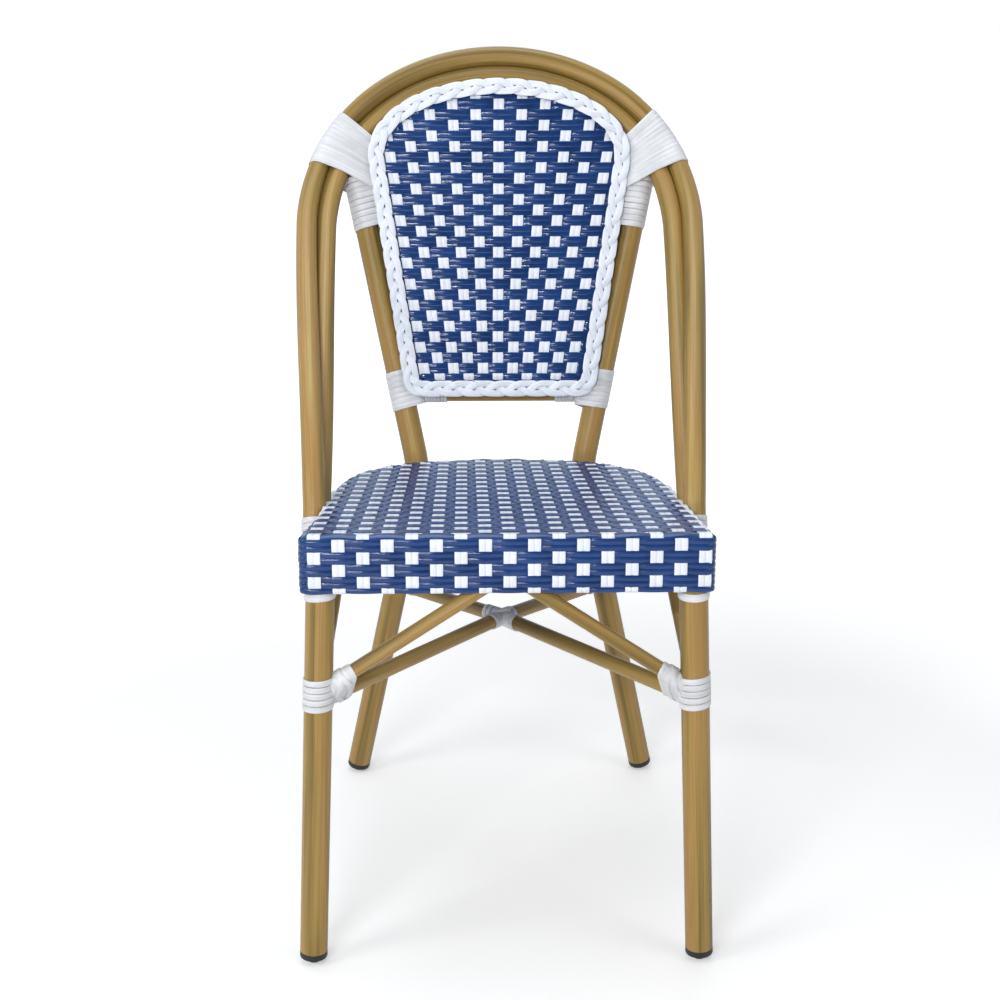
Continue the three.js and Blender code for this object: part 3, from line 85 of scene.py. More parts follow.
def node(tree, kind, inputs=(), **settings):
    """A new node, with each input set to a value or linked to a socket."""
    made = tree.nodes.new("ShaderNode" + kind)
    for key, value in settings.items():
        setattr(made, key, value)
    for key, value in dict(inputs).items():
        if isinstance(value, bpy.types.NodeSocket):
            tree.links.new(value, made.inputs[key])
        else:
            made.inputs[key].default_value = value
    return made


def worked_out(tree, operation, *values):
    """The result of one step of arithmetic on values and sockets."""
    return node(tree, "Math", enumerate(values), operation=operation).outputs[0]


def blank_material(name):
    """A material with an empty node tree, and that tree."""
    paint = bpy.data.materials.new(name)
    paint.use_nodes = True
    paint.node_tree.nodes.clear()
    return paint, paint.node_tree


def seen_directly(tree, depth, near, far):
    """1 for what the camera sees, and for what is mirrored from behind the chair rather than before it."""
    path = node(tree, "LightPath")
    behind = node(tree, "MapRange", {"Value": depth, "From Min": near, "From Max": far})
    mirrored = worked_out(tree, "MULTIPLY", path.outputs["Is Glossy Ray"], behind.outputs[0])
    either = worked_out(tree, "MAXIMUM", path.outputs["Is Camera Ray"], mirrored)
    return worked_out(tree, "MAXIMUM", either, path.outputs["Is Transmission Ray"])


def studio_white():
    """White floor paint that glows for the camera, less so where the chair's shadow falls."""
    paint, tree = blank_material("studio_white")
    diffuse = node(tree, "BsdfDiffuse", {"Color": FLOOR_SHADE})
    spot = node(tree, "TexCoord").outputs["Object"]
    away = node(tree, "VectorMath", {0: spot}, operation="LENGTH").outputs["Value"]
    level = node(tree, "MapRange", {"Value": away, "From Min": SHADOW_ENDS[0], "From Max": SHADOW_ENDS[1],
                                    "To Min": SHADOW_GLOW})
    depth = node(tree, "SeparateXYZ", {0: spot}).outputs["Y"]
    seen = seen_directly(tree, depth, *FLOOR_MIRRORED)
    glow = node(tree, "Emission", {"Strength": worked_out(tree, "MULTIPLY", seen, level.outputs[0])})
    both = node(tree, "AddShader", {0: diffuse.outputs[0], 1: glow.outputs[0]})
    node(tree, "OutputMaterial", {"Surface": both.outputs[0]})
    return paint


floor_shape = bmesh.new()
bmesh.ops.create_grid(floor_shape, x_segments=1, y_segments=1, size=FLOOR_REACH)
floor_mesh = bpy.data.meshes.new("studio_floor")
floor_shape.to_mesh(floor_mesh)
floor_shape.free()
floor_mesh.materials.append(studio_white())
floor = bpy.data.objects.new("studio_floor", floor_mesh)
bpy.context.collection.objects.link(floor)

room = bpy.data.worlds.new("studio_room")
room.use_nodes = True
bpy.context.scene.world = room
room_tree = room.node_tree
room_tree.nodes.clear()
room_way = node(room_tree, "TexCoord").outputs["Generated"]
room_depth = node(room_tree, "SeparateXYZ", {0: room_way}).outputs["Y"]
room_seen = seen_directly(room_tree, room_depth, *ROOM_MIRRORED)
room_glossy = node(room_tree, "LightPath").outputs["Is Glossy Ray"]
room_low = worked_out(room_tree, "MULTIPLY_ADD", room_glossy, ROOM_SHINE - ROOM_LIGHT, ROOM_LIGHT)
room_strength = node(room_tree, "MapRange", {"Value": room_seen, "To Min": room_low})
room_dulled = Vector(ROOM_SHINE_TINT) - Vector(WHITE)
room_tint = node(room_tree, "VectorMath", {0: room_glossy, 1: room_dulled, 2: WHITE},
                 operation="MULTIPLY_ADD")
room_light = node(room_tree, "Background",
                  {"Color": room_tint.outputs[0], "Strength": room_strength.outputs[0]})
node(room_tree, "OutputWorld", {"Surface": room_light.outputs[0]})


def lamp(name, place, target, size, power, colour=WHITE):
    """A rectangular lamp at a place, turned to a target."""
    data = bpy.data.lights.new(name, "AREA")
    data.shape = "RECTANGLE"
    data.size, data.size_y = size
    data.energy = power
    data.color = colour
    made = bpy.data.objects.new(name, data)
    made.location = place
    made.rotation_euler = (Vector(target) - Vector(place)).to_track_quat("-Z", "Y").to_euler()
    bpy.context.collection.objects.link(made)


lamp("key_lamp", (-2.0, -1.3, 1.8), (0, 0.1, 0.7), (0.9, 1.3), 18)
lamp("low_strip_lamp", (-0.65, -2.2, 0.55), (0, 0, 0.45), (0.8, 0.05), 9.5, COOL)
lamp("high_strip_lamp", (-0.75, -2.2, 1.5), (0, 0.3, 0.7), (0.8, 0.06), 20, COOL)
lamp("fill_lamp", (1.7, -1.3, 1.9), (0, 0.2, 0.95), (1.2, 1.2), 11)
lamp("top_lamp", (-0.2, 0.2, 2.4), (0, 0.1, 0.5), (1.4, 1.4), 17, SKY)
lamp("back_lamp", (0.3, 2.0, 2.2), (0, 0, 0.6), (1.6, 1.0), 5)

# Front legs. Two straight 28 mm aluminium tubes, splayed a little, printed with a
# bamboo pattern under a satin lacquer; their tops are hidden inside the seat.
MM = 0.001
SIDES = (-1, "left"), (1, "right")
LEG = 28
LEG_SPREAD_LOW = 197
LEG_SPREAD_HIGH = 175.5
LEG_ENDS = 13, 434
SEAT_HEIGHT = 457
SEAT_FRONT = -17.5
SEAT_LENGTH = 405.5
SEAT_BACK = SEAT_FRONT + SEAT_LENGTH
SEAT_SLOPE = 29 / SEAT_LENGTH
SEAM = 1e-6
CREASE = math.radians(40)
FLECK = (0.21, 0.125, 0.05, 1)


def place(x, depth, height):
    """A point given in millimetres, its depth measured back from the front legs."""
    return Vector((x * MM, depth * MM + leg_depth, height * MM))


def seat_height(depth):
    """Height of the seat's sloping top."""
    return SEAT_HEIGHT - (depth - SEAT_FRONT) * SEAT_SLOPE


def front_leg_point(side, height):
    """A point on a front leg's axis."""
    spread = LEG_SPREAD_LOW + (LEG_SPREAD_HIGH - LEG_SPREAD_LOW) * height / seat_height(0)
    return place(side * spread, 0, height)


def line(start, end, count):
    """Points evenly along a straight line."""
    return [start.lerp(end, k / (count - 1)) for k in range(count)]


def swept(points, across, outward, outline, closed=False, uv_start=0.0):
    """A closed skin: the outline, in metres, carried along the points on the two given directions."""
    shape = bmesh.new()
    shape.loops.layers.uv.new("strip_map")
    count, around = len(points), len(outline)
    bmesh.ops.create_grid(shape, x_segments=count - 1, y_segments=around, size=1, calc_uvs=True)
    reach = max(vert.co.x for vert in shape.verts)
    rise = max(vert.co.y for vert in shape.verts)
    weld = []
    for vert in shape.verts:
        index = round((vert.co.x / reach + 1) / 2 * (count - 1))
        corner = round((vert.co.y / rise + 1) / 2 * around)
        if corner in (0, around) or (closed and index in (0, count - 1)):
            weld.append(vert)
        a, b = outline[corner % around]
        vert.co = points[index] + across[index] * a + outward[index] * b
    length = sum((b - a).length for a, b in zip(points, points[1:]))
    girth = sum((Vector(outline[i]) - Vector(outline[i - 1])).length for i in range(around))
    uv_layer = shape.loops.layers.uv.active
    for face in shape.faces:
        for loop in face.loops:
            uv = loop[uv_layer].uv
            loop[uv_layer].uv = (uv.x * length + uv_start, uv.y * girth)
    bmesh.ops.remove_doubles(shape, verts=weld, dist=SEAM)
    if not closed:
        rims = [edge for edge in shape.edges if edge.is_boundary]
        bmesh.ops.holes_fill(shape, edges=rims, sides=0)
    bmesh.ops.recalc_face_normals(shape, faces=shape.faces)
    return shape


def round_tube(points, diameter, sides=28, uv_start=0.0):
    """A round tube along the points, whose section turns as little as it can."""
    ends = [points[0]] + points + [points[-1]]
    tangents = [(after - before).normalized() for before, after in zip(ends, ends[2:])]
    start = Vector((0, 0, 1)) if abs(tangents[0].z) < 0.9 else Vector((1, 0, 0))
    across = [(start - tangents[0] * start.dot(tangents[0])).normalized()]
    for before, tangent in zip(tangents, tangents[1:]):
        side = before.rotation_difference(tangent) @ across[-1]
        across.append((side - tangent * side.dot(tangent)).normalized())
    outward = [tangent.cross(side) for tangent, side in zip(tangents, across)]
    angles = [2 * math.pi * k / sides for k in range(sides)]
    ring = [(diameter / 2 * MM * math.cos(angle), diameter / 2 * MM * math.sin(angle)) for angle in angles]
    return swept(points, across, outward, ring, uv_start=uv_start)


def add_piece(name, shape, finish, stands_for):
    """An object on the chair's one body, shown in place of the named CAD nodes."""
    mesh = bpy.data.meshes.new(name)
    shape.to_mesh(mesh)
    shape.free()
    mesh.shade_smooth()
    mesh.set_sharp_from_angle(angle=CREASE)
    mesh.materials.append(finish)
    piece = bpy.data.objects.new(name, mesh)
    bpy.context.collection.objects.link(piece)
    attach(piece, "root")
    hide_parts(*stands_for)


def streaks(tree, along, around, detail, roughness=0.5):
    """Noise drawn out along a tube or strip, read from its own map: X runs along it and Y round it."""
    where = node(tree, "UVMap", uv_map="strip_map").outputs[0]
    stretched = node(tree, "Mapping", {"Vector": where, "Scale": (along, around, 1)})
    return node(tree, "TexNoise", {"Vector": stretched.outputs[0], "Scale": 1.0, "Detail": detail,
                                   "Roughness": roughness}).outputs[0]


def ramp(tree, value, *stops):
    """Colours blended through the given stops, each a position and a colour."""
    made = node(tree, "ValToRGB", {"Fac": value})
    elements = made.color_ramp.elements
    for element, (position, colour) in zip(list(elements), (stops[0], stops[-1])):
        element.position = position
        element.color = (*colour, 1)
    for position, colour in stops[1:-1]:
        elements.new(position).color = (*colour, 1)
    return made.outputs[0]


def remapped(tree, value, low, high, start=0.0, end=1.0):
    """A value between start and end turned into one between low and high."""
    return node(tree, "MapRange", {"Value": value, "From Min": start, "From Max": end,
                                   "To Min": low, "To Max": high}).outputs[0]


def bumped(tree, value, strength, depth):
    """A normal that follows a value, as grain of the given depth in metres."""
    bump = node(tree, "Bump", {"Height": value, "Strength": strength, "Distance": depth})
    return bump.outputs[0]


def surface(tree, **inputs):
    """The material's surface, its inputs named with underscores for spaces."""
    named = {key.replace("_", " "): value for key, value in inputs.items()}
    skin = node(tree, "BsdfPrincipled", named)
    node(tree, "OutputMaterial", {"Surface": skin.outputs[0]})


def bamboo_print():
    """Tan lacquer printed with broad bands, fine fibres and a few dark flecks along the tube."""
    paint, tree = blank_material("bamboo_print")
    bands = streaks(tree, 2.2, 75, 2.0)
    fibres = streaks(tree, 7, 620, 4.0, 0.6)
    flecks = streaks(tree, 28, 260, 3.0)
    tone = ramp(tree, bands, (0.35, (0.215, 0.135, 0.036)), (0.50, (0.385, 0.247, 0.062)),
                (0.60, (0.42, 0.238, 0.075)), (0.67, (0.47, 0.315, 0.092)))
    colour = node(tree, "VectorMath", {0: tone, 1: remapped(tree, fibres, 0.74, 1.12, 0.3, 0.7)},
                  operation="MULTIPLY")
    amount = remapped(tree, flecks, 0.0, 0.35, 0.64, 0.78)
    flecked = node(tree, "Mix", {"Factor": amount, "A": colour.outputs[0], "B": FLECK},
                   data_type="RGBA")
    surface(tree, Base_Color=flecked.outputs[2], Roughness=remapped(tree, fibres, 0.30, 0.44),
            Normal=bumped(tree, fibres, 0.10, 0.0004), Specular_IOR_Level=0.38)
    return paint


bamboo = bamboo_print()
for side, name in SIDES:
    path = line(front_leg_point(side, LEG_ENDS[0]), front_leg_point(side, LEG_ENDS[1]), 24)
    tube = round_tube(path, LEG, uv_start=0.7 * side)
    add_piece(f"front_leg_tube_{name}", tube, bamboo, [f"front_leg_{name}"])

# Rear legs. The same tube, bent once behind the seat: the lower part splays back
# and outwards, the upper part leans back beside the woven panel and meets the hoops.
LEAN = math.radians(13.5)
BEND_SPREAD = 95.3
BEND_DEPTH = 386.1
BEND_HEIGHT = 408.5
BEND_REACH = 30
FOOT_SPREAD = 183
FOOT_DEPTH = 452
REAR_LEG_LOW = 12.6
UPRIGHT_SPREAD = 170.2
UPRIGHT_HEIGHT = 761.5


def back_point(x, up, forward=0.0):
    """A point on the leaning back: up its slope from the bend, and in front of the uprights' axes."""
    return place(x, BEND_DEPTH + up * math.sin(LEAN) - forward * math.cos(LEAN),
                 BEND_HEIGHT + up * math.cos(LEAN) + forward * math.sin(LEAN))


def up_slope(height):
    """The distance up the back's slope at which it reaches a height."""
    return (height - BEND_HEIGHT) / math.cos(LEAN)


def upright_half_spread(up):
    """Half the distance between the uprights."""
    return BEND_SPREAD + (UPRIGHT_SPREAD - BEND_SPREAD) * up / up_slope(UPRIGHT_HEIGHT)


def upright_point(side, up):
    """A point on an upright's axis."""
    return back_point(side * upright_half_spread(up), up)


def rear_leg_point(side, height):
    """A point on a rear leg's axis below its bend."""
    share = height / BEND_HEIGHT
    return place(side * (FOOT_SPREAD + (BEND_SPREAD - FOOT_SPREAD) * share),
                 FOOT_DEPTH + (BEND_DEPTH - FOOT_DEPTH) * share, height)


def curve_points(controls, count):
    """Points on a Bezier curve of three or four controls."""
    points = []
    for k in range(count):
        rest = list(controls)
        while len(rest) > 1:
            rest = [a.lerp(b, k / (count - 1)) for a, b in zip(rest, rest[1:])]
        points.append(rest[0])
    return points


def bent_line(start, bend, end, reach, counts):
    """A straight line, a bend that begins and ends at a reach from its middle, and a straight line again."""
    before = bend + (start - bend).normalized() * (reach * MM)
    after = bend + (end - bend).normalized() * (reach * MM)
    straight, curved = counts
    path = line(start, before, straight)[:-1] + curve_points([before, bend, after], curved)[:-1]
    return path + line(after, end, straight)


for side, name in SIDES:
    path = bent_line(rear_leg_point(side, REAR_LEG_LOW), upright_point(side, 0),
                     upright_point(side, up_slope(UPRIGHT_HEIGHT)), BEND_REACH, (20, 12))
    tube = round_tube(path, LEG, uv_start=3 + 0.9 * side)
    add_piece(f"rear_leg_tube_{name}", tube, bamboo, [f"rear_leg_{name}"])

# Hoops. Two bent 23 mm tubes side by side: an arch over the back, then a sweep
# forward and down to the seat's sides, where the inner tube has rolled behind.
HOOP = 23
HOOP_SKIN = HOOP + 0.6
HOOP_GAP = 0.3
HOOP_HEIGHT = 897.5
ARCH_RISE = 184.5
ARCH_HALF = 220.5
HOOP_TOP = up_slope(HOOP_HEIGHT - HOOP / 2)
ARCH_CENTRE = HOOP_TOP - ARCH_RISE
WIDEST = BEND_HEIGHT + ARCH_CENTRE * math.cos(LEAN)
SWEEP_START = 818.5
SWEEP_HANDLE = 110
SEAT_MEET = Vector((125, seat_height(125)))
SEAT_LEAN = math.radians(24)
SEAT_HALF = 194
TAIL = 40
ROLL = math.radians(84)


def hoop_half_width(height):
    """Half the width of the outer hoop: an ellipse above its widest place, and drawn in below it."""
    if height > WIDEST:
        rise = (up_slope(height) - ARCH_CENTRE) / ARCH_RISE
        return ARCH_HALF * math.sqrt(max(0, 1 - rise * rise))
    if height < SEAT_MEET.y:
        return SEAT_HALF
    fallen = (WIDEST - height) / (WIDEST - SEAT_MEET.y)
    eased = (fallen + (1 - math.cos(math.pi * fallen)) / 2) / 2
    return ARCH_HALF + (SEAT_HALF - ARCH_HALF) * eased


def lengths_along(points):
    """The distance along a line of points at each of them."""
    reach = [0.0]
    for a, b in zip(points, points[1:]):
        reach.append(reach[-1] + (b - a).length)
    return reach


def evenly(points, count):
    """The same line of points, spaced evenly."""
    reach = lengths_along(points)
    spaced, index = [], 0
    for k in range(count):
        goal = reach[-1] * k / (count - 1)
        while index < len(points) - 2 and reach[index + 1] < goal:
            index += 1
        step = reach[index + 1] - reach[index]
        spaced.append(points[index].lerp(points[index + 1], (goal - reach[index]) / step if step else 0))
    return spaced


def hoop_side(side, arch_steps=160, sweep_steps=200, count=400):
    """Points on the outer hoop's axis, from its top down one side."""
    end = math.acos((up_slope(SWEEP_START) - ARCH_CENTRE) / ARCH_RISE)
    points = []
    for k in range(arch_steps):
        angle = end * k / arch_steps
        up = ARCH_CENTRE + ARCH_RISE * math.cos(angle)
        points.append(back_point(side * ARCH_HALF * math.sin(angle), up))
    start = Vector((BEND_DEPTH + up_slope(SWEEP_START) * math.sin(LEAN), SWEEP_START))
    back_way = Vector((math.sin(LEAN), math.cos(LEAN)))
    seat_way = Vector((math.sin(SEAT_LEAN), math.cos(SEAT_LEAN)))
    profile = curve_points([start, start - SWEEP_HANDLE * back_way, SEAT_MEET + SWEEP_HANDLE * seat_way,
                            SEAT_MEET], sweep_steps)
    profile += line(SEAT_MEET, SEAT_MEET - TAIL * seat_way, 20)[1:]
    points += [place(side * hoop_half_width(spot.y), spot.x, spot.y) for spot in profile]
    return evenly(points, count)


def hoop_pair(side):
    """Axes of the outer and the inner hoop down one side, with the direction along them."""
    outer = hoop_side(side)
    last = len(outer) - 1
    inner, along = [], []
    for k, spot in enumerate(outer):
        step = outer[min(k + 1, last)] - outer[max(k - 1, 0)]
        tangent = step.normalized() if k else Vector((side, 0, 0))
        height = spot.z / MM
        lean = LEAN if height > SWEEP_START else math.atan2(-tangent.y, -tangent.z)
        behind = Vector((0, math.cos(lean), -math.sin(lean)))
        inward = (behind.cross(tangent) * side).normalized()
        roll = ROLL * min(1, max(0, (SWEEP_START - height) / (SWEEP_START - SEAT_MEET.y)))
        inner.append(spot + (inward * math.cos(roll) + behind * math.sin(roll)) * (HOOP + HOOP_GAP) * MM)
        along.append(tangent)
    return outer, inner, along


hoops = {side: hoop_pair(side) for side, _ in SIDES}
for which, name in enumerate(("outer", "inner")):
    path = evenly(list(reversed(hoops[-1][which])) + hoops[1][which][1:], 200)
    tube = round_tube(path, HOOP_SKIN, uv_start=5 + 2.3 * which)
    add_piece(f"hoop_tube_{name}", tube, bamboo, [f"hoop_{name}"])

# Bottom rail of the back. A straight 16 mm tube welded between the uprights, its
# ends inside them.
RAIL = 16
RAIL_UP = up_slope(501.5)
RAIL_SHORT = 6
rail_half = upright_half_spread(RAIL_UP) - RAIL_SHORT
path = line(back_point(-rail_half, RAIL_UP), back_point(rail_half, RAIL_UP), 12)
add_piece("back_rail_tube", round_tube(path, RAIL, uv_start=9.1), bamboo, ["back_bottom_rail"])

# Braces. Four 14 mm struts rise from the front legs to the seat, and two 16 mm
# tubes cross under it: one runs through, bent a little, and the other is in two arms.
STRUT = 14
BRACE = 16
BRACE_SIDES = 22
FRONT_BRACE_HEIGHT = 285.5
REAR_BRACE_HEIGHT = 266.5
STRUT_HEIGHT = 293.5
STRUT_DROP = 47.5
FRONT_STRUT_END = 13, -6
SIDE_STRUT_END = 169, 172
CROSSING_SHARE = 0.595
CROSSING_RISE = 8
CROSSING_REACH = 15


def brace(name, start, end, diameter, uv_start, node_name):
    """One straight strut or arm."""
    tube = round_tube(line(start, end, 12), diameter, BRACE_SIDES, uv_start)
    add_piece(name, tube, bamboo, [node_name])


def strut_end(side, x, depth):
    """Where a strut meets the seat's lower rail."""
    return place(side * x, depth, seat_height(depth) - STRUT_DROP)


front_joint = {side: front_leg_point(side, FRONT_BRACE_HEIGHT) for side, _ in SIDES}
rear_joint = {side: rear_leg_point(side, REAR_BRACE_HEIGHT) for side, _ in SIDES}
strut_joint = {side: front_leg_point(side, STRUT_HEIGHT) for side, _ in SIDES}
strut_top = {side: strut_end(side, *FRONT_STRUT_END) for side, _ in SIDES}
crossing = front_joint[1].lerp(rear_joint[-1], CROSSING_SHARE) + Vector((0, 0, CROSSING_RISE * MM))
for side, name in SIDES:
    start = strut_joint[side]
    brace(f"front_strut_tube_{name}", start, strut_top[side], STRUT, 11 + side, f"front_strut_{name}")
    brace(f"side_strut_tube_{name}", start, strut_end(side, *SIDE_STRUT_END), STRUT, 13 + side,
          f"side_strut_{name}")
path = bent_line(front_joint[1], crossing, rear_joint[-1], CROSSING_REACH, (8, 8))
tube = round_tube(path, BRACE, BRACE_SIDES, 15.4)
add_piece("cross_brace_tube_whole", tube, bamboo, ["cross_brace_whole"])
brace("cross_brace_tube_front", front_joint[-1], crossing, BRACE, 16.1, "cross_brace_front_arm")
brace("cross_brace_tube_rear", crossing, rear_joint[1], BRACE, 17.3, "cross_brace_rear_arm")

# Foot glides. Black moulded plastic plugs pushed into the legs: a collar as wide as
# the tube, then a rounded tip that is flat where it stands.
TIP_RADIUS = 9
TIP_DEPTH = 6.8
TIP_SINK = 0.8
TIP_STEPS = 8
COLLAR = [(9.6, 6), (13.0, 6.1), (13.8, 6.6), (14.05, 7.4), (14.05, 12.7), (13.6, 12.9)]
STEM = [(11.8, 13.1), (11.8, 24), (0, 24)]
GLIDE_SIDES = 32
FLAT_HEIGHT = 0.02
AIM_HEIGHT = 400


def clouds(tree, scale, detail):
    """Noise in the piece's own space, alike in every direction."""
    where = node(tree, "TexCoord").outputs["Object"]
    return node(tree, "TexNoise", {"Vector": where, "Scale": scale, "Detail": detail}).outputs[0]


def moulded_black():
    """Black plastic with a fine moulded grain and scuffs."""
    plastic, tree = blank_material("moulded_black")
    grain = clouds(tree, 900.0, 3.0)
    scuff = clouds(tree, 120.0, 2.0)
    surface(tree, Base_Color=ramp(tree, scuff, (0, (0.006, 0.006, 0.008)), (1, (0.022, 0.022, 0.026))),
            Normal=bumped(tree, grain, 0.25, 0.0002), Roughness=remapped(tree, scuff, 0.42, 0.62))
    return plastic


def glide_profile():
    """Half of a glide's section, from the tip's middle to the stem's top."""
    profile = [(0, -TIP_SINK)]
    for k in range(1, TIP_STEPS + 1):
        angle = math.pi / 2 * k / TIP_STEPS
        profile.append((TIP_RADIUS * math.sin(angle), TIP_DEPTH * (1 - math.cos(angle)) - TIP_SINK))
    return profile + COLLAR + STEM


black = moulded_black()


def glide(name, foot, above, node_name):
    """A glide turned to its leg, and cut flat at the floor."""
    shape = bmesh.new()
    verts = [shape.verts.new((x * MM, 0, z * MM)) for x, z in glide_profile()]
    edges = [shape.edges.new(pair) for pair in zip(verts, verts[1:])]
    bmesh.ops.spin(shape, geom=verts + edges, axis=(0, 0, 1), cent=(0, 0, 0), angle=2 * math.pi,
                   steps=GLIDE_SIDES, use_merge=True)
    bmesh.ops.remove_doubles(shape, verts=shape.verts, dist=SEAM)
    turn = Vector((0, 0, 1)).rotation_difference((above - foot).normalized()).to_matrix().to_4x4()
    bmesh.ops.transform(shape, matrix=Matrix.Translation(foot) @ turn, verts=shape.verts)
    bmesh.ops.bisect_plane(shape, geom=list(shape.verts) + list(shape.edges) + list(shape.faces),
                           plane_co=(0, 0, FLAT_HEIGHT * MM), plane_no=(0, 0, -1), clear_outer=True)
    bmesh.ops.holes_fill(shape, edges=[edge for edge in shape.edges if edge.is_boundary], sides=0)
    bmesh.ops.recalc_face_normals(shape, faces=shape.faces)
    add_piece(name, shape, black, [node_name])


for side, name in SIDES:
    for end, leg_point in ("front", front_leg_point), ("rear", rear_leg_point):
        foot, above = leg_point(side, 0), leg_point(side, AIM_HEIGHT)
        glide(f"{end}_glide_plug_{name}", foot, above, f"{end}_glide_{name}")

# Seat frame. Welded aluminium: an upper rail that the weave bends over, a lower
# rail in the apron, posts, two cross bars and a stub to each rear leg.
def welded_metal():
    """Dull grey aluminium with uneven blotches."""
    metal, tree = blank_material("welded_metal")
    cloud = clouds(tree, 60.0, 5.0)
    surface(tree, Base_Color=ramp(tree, cloud, (0, (0.30, 0.31, 0.32)), (1, (0.46, 0.47, 0.48))),
            Normal=bumped(tree, cloud, 0.2, 0.0003), Roughness=remapped(tree, cloud, 0.35, 0.6),
            Metallic=0.85)
    return metal


metal = welded_metal()
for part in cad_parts:
    if part.startswith(("seat_rail", "seat_post", "seat_support", "rear_leg_stub")):
        bpy.data.objects[part].material_slots[0].material = metal

# Seat weave. Pairs of white resin strips run front to back over pairs of blue
# ones, and turn down over the rail into the apron, where blue pairs run round.
PAIR = -3.05, 3.05
LIFT = 0.85
WEFT_LIFT = 0.72
TOP_LIFTS = 0.4, -0.85
BEAT = (0.0, 0.24, 0.41, 0.59, 0.76)
FLAT_STRIP = [(-3.03, -0.3), (-2.5, -0.6), (2.5, -0.6), (3.03, -0.3), (3.0, 0.36), (2.7, 0.55), (0, 0.62),
              (-2.7, 0.55), (-3.0, 0.36)]
TOP_STRIP = [(-3.3, -0.36), (-2.6, -0.6), (2.6, -0.6), (3.3, -0.36), (3.1, 0.1), (2.2, 0.46), (0, 0.64),
             (-2.2, 0.46), (-3.1, 0.1)]
ROUND_STRIP = [(-3.3, -0.36), (-2.6, -0.6), (2.6, -0.6), (3.3, -0.36), (3.0, 0.08), (2.1, 0.46), (1.1, 0.66),
               (0, 0.73), (-1.1, 0.66), (-2.1, 0.46), (-3.0, 0.08)]
SEAT_CORNER = Vector((197.5, SEAT_FRONT))
CORNER_REACH = 12
SIDE_HALF = 181.5
SIDE_AIM = 110
SIDE_DEPTH = 165
SIDE_HANDLE = 55
REAR_HANDLES = 305, 150
EDGE = 7
EDGE_STEPS = 5
APRON = 56
WALL = APRON - EDGE
ARC = EDGE * math.pi / 2
HOOKS = (3.2, 0.8), (0.8, 0)
TUCK = 4
TUCK_DROP = 2.5
SAG = 1.1
SAG_DEPTH = 185
SAG_REACH = 203
FRONT_TURN = -5
NEAR_BACK = 360
SIDEWAYS = 0.72
BACKWARD = 0.66
COLUMN_COUNT = 17
FIRST_COLUMN = -181.5
COLUMN_PITCH = 22.96
COLUMNS = [FIRST_COLUMN + COLUMN_PITCH * c for c in range(COLUMN_COUNT)]
CONVERGE = 0.08
SKEW = -5
ROWS = 33
ROW_INSETS = 6, 8.5
ROW_DEPTH = (SEAT_LENGTH - sum(ROW_INSETS)) / (ROWS - 1)
ROW_PAIR = -ROW_DEPTH / 4, ROW_DEPTH / 4
row_depths = [SEAT_FRONT + ROW_INSETS[min(j, 1)] + ROW_DEPTH * j for j in range(ROWS)]
LOOP_DROPS = (9.0, 21.05, 33.1, 45.15, 53.55)
LOOP_PAIR = -3.02, 3.02
KEY_CLEAR = 3
KEY_BEYOND = 20
CORNER_AREA = 184, 6
LAST_LOOP_WIDTH = 0.82
EDGE_STRIP_WIDTH = 1.3
EDGE_STRIP_LIFT = -1.4
RIGHT = Vector((1, 0, 0))
UP = Vector((0, 0, 1))


def resin(name, deep, pale, shine, streak_scale=900, level=0.5, grain=0.12):
    """Extruded resin strip: faint lengthwise drawing lines, slight changes of tone and a soft gloss."""
    paint, tree = blank_material(name)
    lines = streaks(tree, 6, streak_scale, 3.0)
    cloud = clouds(tree, 35.0, 4.0)
    tone = remapped(tree, worked_out(tree, "ADD", lines, cloud), 0.0, 1.0, 0.75, 1.25)
    surface(tree, Base_Color=ramp(tree, tone, (0, deep), (1, pale)), Specular_IOR_Level=level,
            Normal=bumped(tree, lines, grain, 0.0003),
            Roughness=remapped(tree, cloud, shine - 0.05, shine + 0.05))
    return paint


def joined(shapes):
    """One shape holding all of the given ones."""
    whole = bmesh.new()
    whole.loops.layers.uv.new("strip_map")
    for shape in shapes:
        carrier = bpy.data.meshes.new("carrier")
        shape.to_mesh(carrier)
        shape.free()
        whole.from_mesh(carrier)
        bpy.data.meshes.remove(carrier)
    return whole


def widened(outline, share):
    """A strip's outline made wider or narrower."""
    return [(a * share, b) for a, b in outline]


def strip(places, outline=FLAT_STRIP, closed=False):
    """One strip from places given as point, normal and direction across it."""
    points, normals, sides = zip(*places)
    across, outward = [], []
    last = len(points) - 1
    for i in range(last + 1):
        before = points[last - 1] if closed and i == 0 else points[max(i - 1, 0)]
        after = points[1] if closed and i == last else points[min(i + 1, last)]
        along = (after - before).normalized()
        side = (sides[i] - along * sides[i].dot(along)).normalized()
        out = along.cross(side)
        if out.dot(normals[i]) < 0:
            out.negate()
        across.append(side)
        outward.append(out)
    return swept(points, across, outward, [(a * MM, b * MM) for a, b in outline], closed=closed)


def over(number, lift=LIFT):
    """A strip's height at its crossing number: over at an even one, under at an odd one."""
    return lift if number % 2 == 0 else -lift


def lift_at(keys, s):
    """Height over the weave's middle: bowed up over a crossing, and pressed flat beneath the next."""
    if s <= keys[0][0]:
        return keys[0][1]
    for (a, lift_a), (b, lift_b) in zip(keys, keys[1:]):
        if s <= b:
            share = (s - a) / (b - a)
            high, low = max(lift_a, lift_b), min(lift_a, lift_b)
            fallen = min(1, (share if lift_a > lift_b else 1 - share) / BEAT[-1])
            return high - (high - low) * fallen * fallen
    return keys[-1][1]


def beats(keys, start, end):
    """Stations along a strip, close together where it passes between its keys, and its height at each."""
    stations = {start, keys[-1][0], end}
    for (a, _), (b, _) in zip(keys, keys[1:]):
        stations.update(a + (b - a) * share for share in BEAT)
    return [(s, lift_at(keys, s)) for s in sorted(stations) if start <= s <= end]


